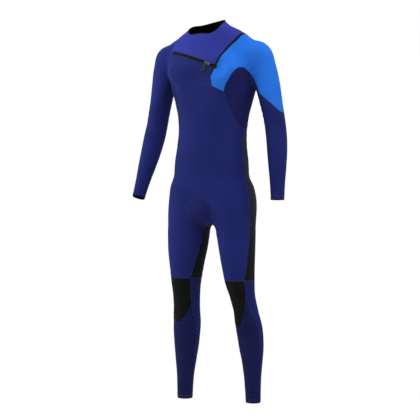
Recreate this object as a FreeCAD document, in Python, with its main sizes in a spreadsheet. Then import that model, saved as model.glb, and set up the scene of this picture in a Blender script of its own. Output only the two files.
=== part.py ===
import FreeCAD, Part
import math
import os
from FreeCAD import Placement, Rotation, Vector

# Full wetsuit, worn size medium, standing as if filled by its wearer.
# Millimetres. +Z is up, the front faces -Y and the wearer's left is +X.
# The origin is the centre of the neck opening.

doc = FreeCAD.newDocument("wetsuit")
sheet = doc.addObject("Spreadsheet::Sheet", "Sizes")

SIZES = {
    # neoprene and how far a cutting tool reaches past the suit
    "wall": 3.5,
    "reach": 400.0,
    # rim and cuffs
    "rim_band": 5.0,
    "collar_depth": 30.0,
    "cuff_length": 14.0,
    "wrist_radius": 26.0,
    "ankle_radius": 31.5,
    # heights of the level seams
    "waist_height": -408.0,
    "knee_height": -998.0,
    # chest zip, an arc across the chest
    "zip_radius": 315.0,
    "zip_bulge": 20.0,
    "zip_half_width": 6.5,
    "zip_gap": 0.8,
    "tooth_reach": 3.6,
    "tooth_pitch": 2.6,
    "tooth_length": 1.6,
    "tooth_thickness": 3.0,
    "tape_thickness": 1.2,
    "slider_length": 24.0,
    "slider_half_width": 5.5,
    "slider_plate": 2.0,
    "slider_web": 1.0,
    "slider_clear": 0.7,
    "tape_depth": 2.0,
    "post_radius": 2.0,
    "pin_radius": 1.2,
    "running_gap": 0.06,
    "tab_width": 20.0,
    "tab_length": 21.0,
    "tab_thickness": 3.2,
}

STATION_COLUMNS = ("centre_x", "centre_y", "height", "half_breadth", "front", "back", "squareness")
TORSO = {
    "collar_top": (0, -27, 60, 58, 60, 57, 2.0),
    "neck": (3, -20, 10, 63, 64, 60, 2.0),
    "nape": (9, -14, -12, 82, 67, 65, 2.0),
    "slope": (14, -7, -32, 115, 72, 70, 2.0),
    "shoulder": (14, 1, -55, 146, 80, 77, 2.1),
    "armhole": (6, 12, -100, 172, 98, 89, 2.2),
    "chest": (4, 16, -180, 180, 124, 105, 2.5),
    "ribs": (6, 15, -250, 171, 126, 108, 2.5),
    "midriff": (8, 10, -330, 152, 110, 98, 2.3),
    "waist": (7, 2, -420, 140, 98, 88, 2.2),
    "belly": (4, 0, -500, 147, 99, 90, 2.2),
    "hip": (1, 2, -600, 155, 100, 100, 2.2),
    "seat": (0, 4, -690, 160, 97, 104, 2.2),
    "fork": (0, 4, -750, 128, 84, 92, 2.0),
    "crotch": (0, 4, -785, 50, 40, 50, 2.0),
}

# A limb's sections lie across it: lean_out and lean_forward are its direction there, in degrees.
LIMB_COLUMNS = ("centre_x", "centre_y", "height", "lean_out", "lean_forward", "half_breadth", "half_depth")
RIGHT_LEG = {
    "groin": (-84, 4, -650, 0, 0, 60, 70),
    "thigh_top": (-92, 3, -720, 0, 0, 80, 91),
    "thigh": (-97, 0, -800, 0, 0, 83, 90),
    "low_thigh": (-103, -3, -900, 0, 0, 75, 80),
    "above_knee": (-107, -4, -985, 0, 0, 62, 68),
    "knee": (-110, 2, -1070, 0, 0, 53, 58),
    "calf": (-116, 18, -1190, 0, 0, 54, 57),
    "low_calf": (-119, 16, -1300, 0, 0, 45, 47),
    "ankle": (-120, 10, -1400, 0, 0, 34, 35),
    "hem": (-121, 8, -1472, 0, 0, 31.5, 31.5),
}
LEFT_LEG = {
    "groin": (86, 4, -650, 0, 0, 60, 70),
    "thigh_top": (100, 1, -720, 0, 0, 79, 90),
    "thigh": (110, -4, -800, 0, 0, 77, 84),
    "low_thigh": (120, -8, -900, 0, 0, 68, 74),
    "above_knee": (127, -7, -985, 0, 0, 60, 65),
    "knee": (137, 5, -1070, 0, 0, 49, 54),
    "calf": (151, 34, -1190, 0, 0, 52, 55),
    "low_calf": (159, 43, -1300, 0, 0, 44, 46),
    "ankle": (162, 44, -1400, 0, 0, 33, 34.5),
    "hem": (164, 44, -1472, 0, 0, 31.5, 31.5),
}
RIGHT_ARM = {
    "joint": (-105, 18, -108, 70, 0, 44, 46),
    "cap": (-160, 21, -124, 48, 0, 54, 54),
    "deltoid": (-198, 25, -165, 18, -2, 54, 57),
    "upper_arm": (-229, 32, -240, 13, -3, 48, 52),
    "above_elbow": (-247, 36, -320, 12, 0, 43, 47),
    "elbow": (-262, 35, -400, 9, 5, 42, 45),
    "forearm": (-273, 20, -475, 7, 15, 42, 44),
    "low_forearm": (-282, -12, -560, 6, 22, 35, 37),
    "above_wrist": (-289, -40, -630, 6, 22, 28, 29.5),
    "hem": (-293, -56, -670, 6, 22, 26, 26),
}
LEFT_ARM = {
    "joint": (105, 18, -108, 70, 0, 44, 46),
    "cap": (160, 21, -122, 48, 0, 54, 54),
    "deltoid": (197, 25, -163, 18, 0, 54, 57),
    "upper_arm": (228, 32, -240, 13, -2, 49, 52),
    "above_elbow": (245, 34, -320, 12, 0, 43, 47),
    "elbow": (260, 33, -400, 8, 2, 41, 45),
    "forearm": (270, 30, -475, 4, 4, 39, 44),
    "low_forearm": (275, 24, -560, 3, 6, 34, 38),
    "above_wrist": (278, 17, -630, 3, 6, 28, 31),
    "hem": (280, 13, -670, 3, 6, 26, 26),
}

# Seams as they lie in the front view, (x, z). The wearer's left is +x.
BOUND_EDGE = [(158, -20), (151, -48), (136, -72), (115, -96), (99, -122), (84, -151), (72, -173)]
BOUND_EDGE_LOW = [(72, -173), (60, -196), (56, -222), (59, -248)]
LEFT_ARCH = [(102, -269), (110, -247), (130, -217), (148, -190), (164, -177), (181, -198), (199, -239), (214, -276)]
LEFT_SLEEVE_EDGE = [(214, -276), (259, -311), (293, -348), (330, -372)]
RIGHT_RAGLAN = [(-112, -10), (-122, -40), (-141, -75), (-151, -112), (-147, -160), (-118, -215), (-84, -255)]
RIGHT_ARCH = [(-112, -272), (-120, -244), (-138, -213), (-164, -177), (-181, -198), (-199, -239), (-214, -276)]
RIGHT_SLEEVE_EDGE = [(-214, -276), (-259, -311), (-293, -348), (-330, -372)]
LEFT_SIDE_SEAM = [(102, -269), (108, -307), (122, -352), (134, -387), (147, -408)]
RIGHT_SIDE_SEAM = [(-112, -272), (-112, -307), (-118, -352), (-128, -387), (-139, -408)]
UNDER_CHEST = [(-200, -262), (-100, -241), (-55, -232), (0, -236), (59, -248), (102, -269)]
GUSSET = [(-48, -724), (-38, -694), (-12, -679), (25, -684), (46, -708), (50, -745), (44, -800), (0, -830), (-40, -800)]
KNEE_PAD_RIGHT = [(-64, -980), (-64, -1060), (-84, -1130), (-120, -1172), (-158, -1168), (-182, -1130), (-190, -980)]
KNEE_PAD_LEFT = [(60, -980), (66, -1080), (92, -1160), (130, -1182), (158, -1130), (170, -1060), (172, -980)]
# Seams as they lie in the side view, (y, z).
REAR_SEAM = [(13, -408), (-14, -438), (-22, -480), (-20, -530), (-22, -628), (-26, -700), (-32, -816), (-42, -900), (-52, -998)]
CALF_SEAM_RIGHT = [(-52, -998), (-32, -1090), (-4, -1190), (6, -1290), (9, -1400), (10, -1480)]
CALF_SEAM_LEFT = [(-52, -998), (-26, -1090), (14, -1190), (36, -1290), (42, -1400), (43, -1480)]

# The middle of the chest zip in the front view, and its two ends in space.
ZIP_LINE = [(-175, -98), (-134, -112), (-34, -138), (72, -174), (110, -186)]
ZIP_RIGHT_END = Vector(-134, -54, -112)
ZIP_LEFT_END = Vector(72, -104, -174)
CHEST_NORMAL = Vector(-0.05, -0.96, 0.27)

# The collar's rim rises towards the back and a little towards the wearer's left.
RIM_BACK_SLOPE = 0.50
RIM_SIDE_SLOPE = 0.18
RIM_HEIGHT = 2.0

# The fold's axis stands off the chest by this much.
FOLD_STAND_OFF = 3.5

# Width of the binding on the open edge above the entry flap.
BINDING_WIDTH = 9

# The line that parts an arm from the trunk in the front view, from the shoulder down between arm and hip.
ARMHOLE = 179
ARM_LINE = [(ARMHOLE, 80), (ARMHOLE, -340), (205, -420), (228, -720), (400, -720), (400, 80), (ARMHOLE, 80)]

# The collar is what lies in this upright column: half breadth, front and back depth, squareness.
NECK_CENTRE = Vector(2, -14, -150)
NECK_COLUMN = (92, 82, 72, 2.0)
# The upper back panel lies behind this plane.
BACK_PLANE = 3

# Angles along the zip's arc, in degrees, from its middle towards the wearer's left.
CHANNEL_END = 21.5
TAPE_END = 20.6
SLIDER_PARKED = 14.0
SLIDER_OPEN = -18.0
ROOT_TAPE_END = 1.6
FLAP_TAPE_START = 3.0
FLAP_TAPE_END = 11.3
APEX_TAPE_START = 11.8
STORM_END = 19.0

# The entry flap folds outwards about this line, given in the front view.
FOLD_START = Vector(-27, 0, -123)
FOLD_END = Vector(125, 0, -85)


def fill_sheet():
    """Every driving dimension as a named cell."""
    row = 1
    for alias, value in SIZES.items():
        write_cell(row, alias, value)
        row += 1
    for part, table, columns in BODY_TABLES:
        for station, values in table.items():
            for column, value in zip(columns, values):
                write_cell(row, f"{part}_{station}_{column}", value)
                row += 1
    doc.recompute()


def write_cell(row, alias, value):
    sheet.set(f"A{row}", alias)
    sheet.set(f"B{row}", str(value))
    sheet.setAlias(f"B{row}", alias)


def size(alias):
    """A driving dimension, read from its cell."""
    return float(sheet.get(alias))


def station(part, name, columns):
    return [size(f"{part}_{name}_{column}") for column in columns]


def bind(obj, **expressions):
    for name, expression in expressions.items():
        obj.setExpression(name, expression)
    return obj


def feature(name, shape):
    obj = doc.addObject("Part::Feature", name)
    obj.Shape = shape
    return obj


def superellipse(half_breadth, front, back, squareness, count=16):
    """Points round a section. Its front half is as deep as front, its rear half as deep as back."""
    points = []
    for i in range(count):
        turn = 2 * math.pi * i / count
        c, s = math.cos(turn), math.sin(turn)
        depth = front if s < 0 else back
        r = (abs(c / half_breadth) ** squareness + abs(s / depth) ** squareness) ** (-1 / squareness)
        points.append((r * c, r * s))
    return points


def closed_curve(points):
    curve = Part.BSplineCurve()
    curve.interpolate(points, PeriodicFlag=True)
    return Part.Wire([curve.toShape()])


def loft(name, wires):
    sections = [feature(f"{name}_section", wire) for wire in wires]
    obj = doc.addObject("Part::Loft", name)
    obj.Sections = sections
    obj.Solid = True
    obj.Ruled = False
    return obj


def torso(name, inset):
    """The trunk from collar to crotch, inset from the outer face. Level ground slopes are inset downwards too."""
    wires = []
    for level in TORSO:
        x, y, z, breadth, front, back, squareness = station("torso", level, STATION_COLUMNS)
        if level in ("nape", "slope", "shoulder"):
            z -= inset
        if level in ("fork", "crotch", "collar_top"):
            z += inset
        outline = superellipse(breadth - inset, front - inset, back - inset, squareness)
        wires.append(closed_curve([Vector(x + u, y + v, z) for u, v in outline]))
    return loft(name, wires)


def limb_frame(part, level):
    """Centre of a limb's section, its direction down the limb and its two axes across the limb."""
    x, y, z, out, forward, _, _ = station(part, level, LIMB_COLUMNS)
    side = 1 if x > 0 else -1
    out, forward = math.radians(out), math.radians(forward)
    down = Vector(side * math.sin(out) * math.cos(forward), -math.sin(forward), -math.cos(out) * math.cos(forward))
    across = Vector(math.cos(out), 0, side * math.sin(out))
    return Vector(x, y, z), down, across, down.cross(across)


def limb(name, part, table, inset):
    wires = []
    for level in table:
        breadth, depth = station(part, level, LIMB_COLUMNS)[5:]
        centre, down, across, deep = limb_frame(part, level)
        if inset and level == "hem":
            centre = centre + down
        outline = superellipse(breadth - inset, depth - inset, depth - inset, 2.0)
        wires.append(closed_curve([centre + across * u + deep * v for u, v in outline]))
    return loft(name, wires)


def filled(name, inset):
    """The suit as one solid body: trunk, legs and arms."""
    parts = [torso(f"{name}_torso", inset)]
    for part, table, _ in BODY_TABLES[1:]:
        parts.append(limb(f"{name}_{part}", part, table, inset))
    obj = doc.addObject("Part::MultiFuse", name)
    obj.Shapes = parts
    return obj


def cut(name, base, tool):
    obj = doc.addObject("Part::Cut", name)
    obj.Base, obj.Tool = base, tool
    return obj


def fuse(name, parts):
    obj = doc.addObject("Part::MultiFuse", name)
    obj.Shapes = parts
    return obj


def seam_edges(outline, to_point):
    """Edges through a list of seams: a seam of two points is straight and a longer one is a smooth curve."""
    edges = []
    for piece in outline:
        points = [to_point(p) for p in piece]
        if len(points) == 2:
            edges.append(Part.makeLine(*points))
        else:
            curve = Part.BSplineCurve()
            curve.interpolate(points)
            edges.append(curve.toShape())
    first, last = to_point(outline[0][0]), to_point(outline[-1][-1])
    if first.distanceToPoint(last) > 1e-6:
        edges.append(Part.makeLine(last, first))
    return edges


def straight(points):
    """The straight pieces of an outline through its corners."""
    return [[a, b] for a, b in zip(points, points[1:])]


def front_tool(outline):
    """A cutting tool: an outline in the front view, carried along Y."""
    reach = size("reach")
    wire = Part.Wire(seam_edges(outline, lambda p: Vector(p[0], -reach, p[1])))
    return Part.Face(wire).extrude(Vector(0, 2 * reach, 0))


def side_tool(outline):
    """A cutting tool: an outline in the side view, carried along X."""
    reach = size("reach")
    wire = Part.Wire(seam_edges(outline, lambda p: Vector(-reach, p[0], p[1])))
    return Part.Face(wire).extrude(Vector(2 * reach, 0, 0))


def block(low, high):
    low, high = Vector(*low), Vector(*high)
    span = high - low
    return Part.makeBox(span.x, span.y, span.z, low)


def measured_volume(shape):
    """Volume from a mesh, which stays true on large curved faces. Small pieces get a finer mesh."""
    points, triangles = shape.tessellate(1.0 if shape.Volume > 2e5 else 0.1)
    return sum(points[a].dot(points[b].cross(points[c])) / 6 for a, b, c in triangles)


def remainder(source, tool, tolerance):
    """What a tool leaves of source. Where the plain cut fails, source is kept to the space round the tool."""
    try:
        return source.cut(tool, tolerance)
    except ValueError:
        space = block((-500, -500, -1700), (500, 500, 300)).cut(tool)
        return source.common(space, tolerance)


def divide(source, tool, name):
    """The part of source inside a tool and the part outside it, which together must still be all of it."""
    whole = measured_volume(source)
    for tolerance in (0, 1e-4, 1e-3, 1e-2):
        inside = source.common(tool, tolerance)
        outside = remainder(source, tool, tolerance)
        kept = measured_volume(inside) + measured_volume(outside)
        if inside.isValid() and outside.isValid() and abs(kept - whole) < 0.004 * whole and inside.Solids:
            return inside, outside
    raise RuntimeError(f"{name} could not be divided")


def main_solid(shape, name):
    """The largest solid of a cut, without the crumbs that a seam leaves where it grazes another."""
    solids = sorted(shape.Solids, key=lambda solid: -solid.Volume)
    crumbs = sum(solid.Volume for solid in solids[1:])
    if crumbs:
        print(f"{name}: {len(solids) - 1} crumbs, {crumbs:.1f} of {solids[0].Volume:.0f} mm3")
    return solids[0]


BODY_TABLES = (
    ("torso", TORSO, STATION_COLUMNS),
    ("right_leg", RIGHT_LEG, LIMB_COLUMNS),
    ("left_leg", LEFT_LEG, LIMB_COLUMNS),
    ("right_arm", RIGHT_ARM, LIMB_COLUMNS),
    ("left_arm", LEFT_ARM, LIMB_COLUMNS),
)
fill_sheet()


def offset_seam(points, distance):
    """A seam moved sideways in the front view, to the right of its own direction."""
    moved = []
    for i, (x, z) in enumerate(points):
        before, after = points[max(i - 1, 0)], points[min(i + 1, len(points) - 1)]
        along = Vector(after[0] - before[0], after[1] - before[1], 0).normalize()
        moved.append((x + distance * along.y, z - distance * along.x))
    return moved


def front_surface(x, z):
    """The point of the suit's outer face that a pin pushed in from the front would touch."""
    pin = Part.makeLine(Vector(x, -size("reach"), z), Vector(x, 0, z)).common(outer.Shape)
    return min((vertex.Point for vertex in pin.Vertexes), key=lambda p: p.y)


rim_plane = Placement(
    Vector(0, 0, RIM_HEIGHT), Rotation(Vector(0, 0, 1), Vector(-RIM_SIDE_SLOPE, -RIM_BACK_SLOPE, 1))
)


def above_rim(drop):
    """The space above a plane parallel to the collar's rim, lower by drop."""
    tool = block((-300, -300, -drop), (300, 300, 300))
    tool.Placement = rim_plane
    return tool


# ---- The filled body, its hollow and the neoprene shell between them ----
outer = filled("outer", 0)
inner = filled("inner", size("wall"))
shell = cut("shell", outer, inner)
doc.recompute()

panels = {}
WAIST, KNEE = size("waist_height"), size("knee_height")
REACH = size("reach")
TOP, FLOOR = 80, -1500

# ---- Rim, sleeves and shoulder panels ----
_, trunk = divide(shell.Shape, above_rim(0), "neck above the rim")
arm_left, trunk = divide(trunk, front_tool(straight(ARM_LINE)), "left arm")
arm_right, trunk = divide(trunk, front_tool(straight([(-x, z) for x, z in ARM_LINE])), "right arm")
LEFT_SHOULDER = [
    BOUND_EDGE, BOUND_EDGE_LOW, [BOUND_EDGE_LOW[-1], LEFT_ARCH[0]], LEFT_ARCH, LEFT_SLEEVE_EDGE,
    [LEFT_SLEEVE_EDGE[-1], (330, TOP)], [(330, TOP), (158, TOP)],
]
RIGHT_SHOULDER = [
    RIGHT_RAGLAN, [RIGHT_RAGLAN[-1], RIGHT_ARCH[0]], RIGHT_ARCH, RIGHT_SLEEVE_EDGE,
    [RIGHT_SLEEVE_EDGE[-1], (-330, TOP)], [(-330, TOP), (-112, TOP)],
]
cap_left, panels["sleeve_left"] = divide(arm_left, front_tool(LEFT_SHOULDER), "left sleeve")
cap_right, panels["sleeve_right"] = divide(arm_right, front_tool(RIGHT_SHOULDER), "right sleeve")
yoke_left, trunk = divide(trunk, front_tool(LEFT_SHOULDER), "left shoulder")
yoke_right, trunk = divide(trunk, front_tool(RIGHT_SHOULDER), "right shoulder")
panels["shoulder_panel_left"] = yoke_left.fuse(cap_left)
panels["shoulder_panel_right"] = yoke_right.fuse(cap_right)

# ---- Rear leg panels, from the waist to behind the knee ----
rear_outline = [REAR_SEAM, [REAR_SEAM[-1], (REACH, KNEE)], [(REACH, KNEE), (REACH, WAIST)]]
rear, trunk = divide(trunk, side_tool(rear_outline), "rear panels")
LEFT_SIDE = block((0, -REACH, FLOOR), (REACH, REACH, TOP))
panels["rear_leg_panel_left"], panels["rear_leg_panel_right"] = divide(rear, LEFT_SIDE, "rear panels' halves")

# ---- Knee pads, shins and calves ----
legs, trunk = divide(trunk, block((-REACH, -REACH, FLOOR), (REACH, REACH, KNEE)), "lower legs")
leg_left, leg_right = divide(legs, LEFT_SIDE, "lower legs' halves")
for side, leg, seam, pad in (
    ("left", leg_left, CALF_SEAM_LEFT, KNEE_PAD_LEFT),
    ("right", leg_right, CALF_SEAM_RIGHT, KNEE_PAD_RIGHT),
):
    calf_outline = [seam, [seam[-1], (REACH, seam[-1][1])], [(REACH, seam[-1][1]), (REACH, KNEE)]]
    panels[f"calf_panel_{side}"], shin = divide(leg, side_tool(calf_outline), f"{side} calf")
    panels[f"knee_pad_{side}"], panels[f"shin_panel_{side}"] = divide(shin, front_tool([pad]), f"{side} knee pad")

# ---- Crotch gusset, side panels, collar and back ----
panels["crotch_gusset"], trunk = divide(trunk, front_tool([GUSSET + GUSSET[:1]]), "gusset")
left_side_outline = [
    LEFT_SIDE_SEAM, [LEFT_SIDE_SEAM[-1], (300, WAIST)], [(300, WAIST), (300, -150)], [(300, -150), (102, -150)],
]
right_side_outline = [
    RIGHT_SIDE_SEAM,
    [RIGHT_SIDE_SEAM[-1], (-300, WAIST)],
    [(-300, WAIST), (-300, -165)],
    [(-300, -165), (-155, -170)],
    [(-155, -170), (-128, -213)],
    [(-128, -213), RIGHT_SIDE_SEAM[0]],
]
panels["side_panel_left"], trunk = divide(trunk, front_tool(left_side_outline), "left side")
panels["side_panel_right"], trunk = divide(trunk, front_tool(right_side_outline), "right side")
neck_seam = [NECK_CENTRE + Vector(u, v, 0) for u, v in superellipse(*NECK_COLUMN)]
neck_column = Part.Face(closed_curve(neck_seam)).extrude(Vector(0, 0, 300))
collar, trunk = divide(trunk, neck_column.common(above_rim(size("collar_depth"))), "collar")
panels["upper_back_panel"], trunk = divide(
    trunk, block((-REACH, BACK_PLANE, WAIST), (REACH, REACH, TOP)), "back"
)

# ---- The chest zip's frame ----
# The zip's arc lies on a cylinder: local X points out of the chest at the arc's middle, Y runs along
# the zip towards the wearer's left and Z, the cylinder's axis, runs up across the zip.
ZIP_RADIUS = size("zip_radius")
along = (ZIP_LEFT_END - ZIP_RIGHT_END).normalize()
outward = (CHEST_NORMAL - along * CHEST_NORMAL.dot(along)).normalize()
upward = outward.cross(along)
arc_centre = (ZIP_LEFT_END + ZIP_RIGHT_END) * 0.5 - outward * (ZIP_RADIUS - size("zip_bulge"))


def frame(origin, x, y, z):
    """The placement that carries local axes to these directions."""
    rows = (x.x, y.x, z.x, origin.x), (x.y, y.y, z.y, origin.y), (x.z, y.z, z.z, origin.z), (0, 0, 0, 1)
    return Placement(FreeCAD.Matrix(*[value for row in rows for value in row]))


ZIP_FRAME = frame(arc_centre, outward, along, upward)


def on_arc(angle, shift=Vector()):
    """The zip's frame turned along its arc, then moved in its own axes."""
    turn = Placement(Vector(), Rotation(Vector(0, 0, 1), angle))
    return ZIP_FRAME.multiply(turn).multiply(Placement(shift, Rotation()))


def arc_bar(name, inner_radius, outer_radius, low, high, start, end):
    """A strip along the zip's arc. The radii are expressions; low and high lie across the zip."""
    rings = []
    for label, radius in (("outer", outer_radius), ("inner", inner_radius)):
        ring = doc.addObject("Part::Cylinder", f"{name}_{label}")
        bind(ring, Radius=radius)
        ring.Height = high - low
        ring.Angle = end - start
        ring.Placement = on_arc(start, Vector(0, 0, low))
        rings.append(ring)
    return cut(name, *rings)


def turned_box(name, placement, corner, **spans):
    """A block from its lowest corner in a turned frame; each span is an expression."""
    obj = doc.addObject("Part::Box", name)
    obj.Placement = placement.multiply(Placement(Vector(*corner), Rotation()))
    return bind(obj, Length=spans["x"], Width=spans["y"], Height=spans["z"])


def turned_rod(name, placement, start, rotation, radius, height):
    """A rod from its start point in a turned frame; its radius and height are expressions."""
    obj = doc.addObject("Part::Cylinder", name)
    obj.Placement = placement.multiply(Placement(Vector(*start), rotation))
    return bind(obj, Radius=radius, Height=height)


EDGE = size("zip_half_width")
TAPE_EDGE = size("tooth_reach")
GAP = size("zip_gap")
TAPE_IN = "Sizes.zip_radius - Sizes.tape_depth - Sizes.tape_thickness / 2"
TAPE_OUT = "Sizes.zip_radius - Sizes.tape_depth + Sizes.tape_thickness / 2"

# ---- Chest panel, yoke, entry flap and the binding of the open edge ----
channel = arc_bar(
    "zip_channel", "Sizes.zip_radius - 14", "Sizes.zip_radius + 40", -EDGE, EDGE, -CHANNEL_END, CHANNEL_END
)
doc.recompute()
trunk = trunk.cut(channel.Shape)
panels["shoulder_panel_left"] = panels["shoulder_panel_left"].cut(channel.Shape)
above_zip = [ZIP_LINE, [ZIP_LINE[-1], (250, TOP)], [(250, TOP), (-175, TOP)]]
yoke, trunk = divide(trunk, front_tool(above_zip), "yoke")
under_chest = [
    UNDER_CHEST, [UNDER_CHEST[-1], (250, -100)], [(250, -100), (-250, -100)], [(-250, -100), UNDER_CHEST[0]],
]
panels["chest_panel"], trunk = divide(trunk, front_tool(under_chest), "chest panel")
panels["front_panel"] = trunk

fold = (FOLD_END - FOLD_START).normalize()
fold_down = Vector(fold.z, 0, -fold.x)


def fold_point(along_fold, below_fold):
    """A point of the front view, from the fold line's start."""
    point = FOLD_START + fold * along_fold + fold_down * below_fold
    return (point.x, point.z)


FOLD_LENGTH = (FOLD_END - FOLD_START).Length
FLAP_LENGTH = FOLD_LENGTH + 30
EDGE_REACH = 20
FLAP_SIDE_GAP = 2.0
FLAP_TOP_GAP = 9.0
FLAP_DEPTH = 90
opening = [
    [fold_point(0, FLAP_DEPTH), fold_point(0, 0)],
    [fold_point(0, 0), fold_point(FLAP_LENGTH, 0)],
    [fold_point(FLAP_LENGTH, 0), fold_point(FLAP_LENGTH, FLAP_DEPTH)],
]
flap_area = [
    [fold_point(FLAP_SIDE_GAP, FLAP_DEPTH), fold_point(FLAP_SIDE_GAP, FLAP_TOP_GAP)],
    [fold_point(FLAP_SIDE_GAP, FLAP_TOP_GAP), fold_point(FLAP_LENGTH, FLAP_TOP_GAP)],
    [fold_point(FLAP_LENGTH, FLAP_TOP_GAP), fold_point(FLAP_LENGTH, FLAP_DEPTH)],
]
inner_edge = offset_seam(BOUND_EDGE, BINDING_WIDTH)
outer_edge = offset_seam(BOUND_EDGE, -EDGE_REACH)
binding_area = [outer_edge, [outer_edge[-1], inner_edge[-1]], inner_edge[::-1]]
flap, yoke = divide(yoke, front_tool(opening), "yoke above the flap")
flap, _ = divide(flap, front_tool(flap_area), "flap")
free_edge = offset_seam(BOUND_EDGE, FLAP_SIDE_GAP)
clear_of_edge = [outer_edge, [outer_edge[-1], free_edge[-1]], free_edge[::-1]]
_, flap = divide(flap, front_tool(clear_of_edge), "flap's free edge")
panels["flap_binding"], panels["entry_flap"] = divide(flap, front_tool(binding_area), "flap binding")
panels["yoke_binding"], panels["chest_yoke"] = divide(yoke, front_tool(binding_area), "yoke binding")

# ---- Rim of the collar ----
panels["neck_binding"], panels["collar"] = divide(collar, above_rim(size("rim_band")), "neck binding")

# ---- Storm flap behind the zip, sewn to the chest panel along its lower edge ----
STORM_IN, STORM_OUT = "Sizes.zip_radius - 11.5", "Sizes.zip_radius - 10"
storm_sheet = arc_bar("storm_sheet", STORM_IN, STORM_OUT, -20, 20, -STORM_END, STORM_END)
storm_rail = arc_bar("storm_rail", STORM_IN, "Sizes.zip_radius + 6", -20, -17, -STORM_END, STORM_END)
storm = fuse("storm_whole", [storm_sheet, storm_rail])
doc.recompute()
panels["storm_flap"] = storm.Shape.common(inner.Shape)

# ---- Zip tapes, teeth and end patches ----
pieces = {
    "zip_tape_lower": arc_bar("zip_tape_lower", TAPE_IN, TAPE_OUT, -EDGE, -TAPE_EDGE, -TAPE_END, TAPE_END),
    "zip_tape_upper": arc_bar("zip_tape_upper", TAPE_IN, TAPE_OUT, TAPE_EDGE, EDGE, -TAPE_END, ROOT_TAPE_END),
    "flap_zip_tape": arc_bar("flap_zip_tape", TAPE_IN, TAPE_OUT, TAPE_EDGE, EDGE, FLAP_TAPE_START, FLAP_TAPE_END),
}
patch_in, patch_out = "Sizes.zip_radius - 3.5", "Sizes.zip_radius"
apex_patch = arc_bar("apex_patch", patch_in, patch_out, -EDGE, EDGE, TAPE_END, CHANNEL_END)
apex_tape = arc_bar("apex_tape", TAPE_IN, TAPE_OUT, TAPE_EDGE, EDGE, APEX_TAPE_START, TAPE_END)
pieces["zip_apex_patch"] = fuse("zip_apex_patch", [apex_patch, apex_tape])
pieces["zip_start_patch"] = arc_bar(
    "zip_start_patch", patch_in, patch_out, -EDGE, EDGE, -CHANNEL_END, -TAPE_END
)

TOOTH_IN = ZIP_RADIUS - size("tape_depth") - size("tooth_thickness") / 2
TOOTH_STEP = math.degrees(size("tooth_pitch") / ZIP_RADIUS)


def teeth(low, start, end, phase):
    """A row of moulded teeth between two angles, from low across the zip, shifted by a share of the pitch."""
    rows = []
    angle = start + (0.5 + phase) * TOOTH_STEP
    while angle < end - 0.5 * TOOTH_STEP:
        tooth = Part.makeBox(
            size("tooth_thickness"), size("tooth_length"), TAPE_EDGE - GAP, Vector(TOOTH_IN, -size("tooth_length") / 2, low)
        )
        tooth.Placement = on_arc(angle).multiply(tooth.Placement)
        rows.append(tooth)
        angle += TOOTH_STEP
    return Part.makeCompound(rows)


panels["zip_teeth_lower"] = teeth(-TAPE_EDGE, -TAPE_END, TAPE_END, 0)
panels["zip_teeth_upper"] = teeth(GAP, -TAPE_END, ROOT_TAPE_END, 0.5)
panels["flap_zip_teeth"] = teeth(GAP, FLAP_TAPE_START, FLAP_TAPE_END, 0)

# ---- Slider: two plates joined by a web that runs between the rows of teeth ----
HALF_LENGTH = size("slider_length") / 2
HALF_WIDTH = size("slider_half_width")
PLATE = size("slider_plate")
FRONT_FACE = ZIP_RADIUS - size("tape_depth") + size("tooth_thickness") / 2 + size("slider_clear")
BACK_FACE = ZIP_RADIUS - size("tape_depth") - size("tooth_thickness") / 2 - size("slider_clear")
FLANGE = 1.1
parked = on_arc(SLIDER_PARKED)
slider_parts = [
    turned_box(
        "slider_front", parked, (FRONT_FACE, -HALF_LENGTH, -HALF_WIDTH),
        x="Sizes.slider_plate", y="Sizes.slider_length", z="Sizes.slider_half_width * 2",
    ),
    turned_box(
        "slider_back", parked, (BACK_FACE - PLATE, -HALF_LENGTH, -HALF_WIDTH),
        x="Sizes.slider_plate", y="Sizes.slider_length", z="Sizes.slider_half_width * 2",
    ),
    turned_box(
        "slider_web", parked, (BACK_FACE, -HALF_LENGTH + 3, -size("slider_web") / 2),
        x="Sizes.tooth_thickness + 2 * Sizes.slider_clear", y="Sizes.slider_length - 6", z="Sizes.slider_web",
    ),
]
for side in (-1, 1):
    low = HALF_WIDTH - 1 if side > 0 else -HALF_WIDTH
    for label, corner in (("front", FRONT_FACE - FLANGE), ("back", BACK_FACE)):
        slider_parts.append(turned_box(
            f"slider_flange_{label}_{low:.0f}", parked, (corner, -HALF_LENGTH, low),
            x=f"{FLANGE}", y="Sizes.slider_length", z="1",
        ))

# ---- Puller: it swivels on the slider's post and hangs straight down the chest ----
# It is parked a little towards the wearer's right, and its post stands near that end of the slider.
POST_SHIFT = -HALF_LENGTH + 5.0
PULLER_LEAN = 15.0
radial = parked.Rotation.multVec(Vector(1, 0, 0))
straight_down = (Vector(0, 0, -1) + radial * radial.z).normalize()
hang = Rotation(radial, -PULLER_LEAN).multVec(straight_down)
post_base = parked.multVec(Vector(FRONT_FACE + PLATE, POST_SHIFT, 0))
PULLER = frame(post_base, radial.cross(hang), hang * -1, radial)
UPRIGHT = Rotation()
CROSSWISE = Rotation(Vector(0, 0, 1), Vector(1, 0, 0))
POST_HEIGHT = 3.0
HEAD_HEIGHT = 1.0
LINK_LOW = 0.3
LINK_THICKNESS = 2.4
LINK_RADIUS = 5.2
HEAD_RADIUS = 3.4
EYE_RADIUS = 2.2
TAB_DROP = 2.7
PIN_DROP = 10.5
PIN_RISE = 2.4
PIN_HALF = 6.0
slider_parts.append(turned_rod(
    "slider_post", PULLER, (0, 0, -PLATE / 2), UPRIGHT, "Sizes.post_radius", f"{POST_HEIGHT} + Sizes.slider_plate / 2"
))
slider_parts.append(turned_rod("slider_head", PULLER, (0, 0, POST_HEIGHT), UPRIGHT, f"{HEAD_RADIUS}", f"{HEAD_HEIGHT}"))
pieces["zip_slider"] = fuse("zip_slider", slider_parts)

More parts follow.
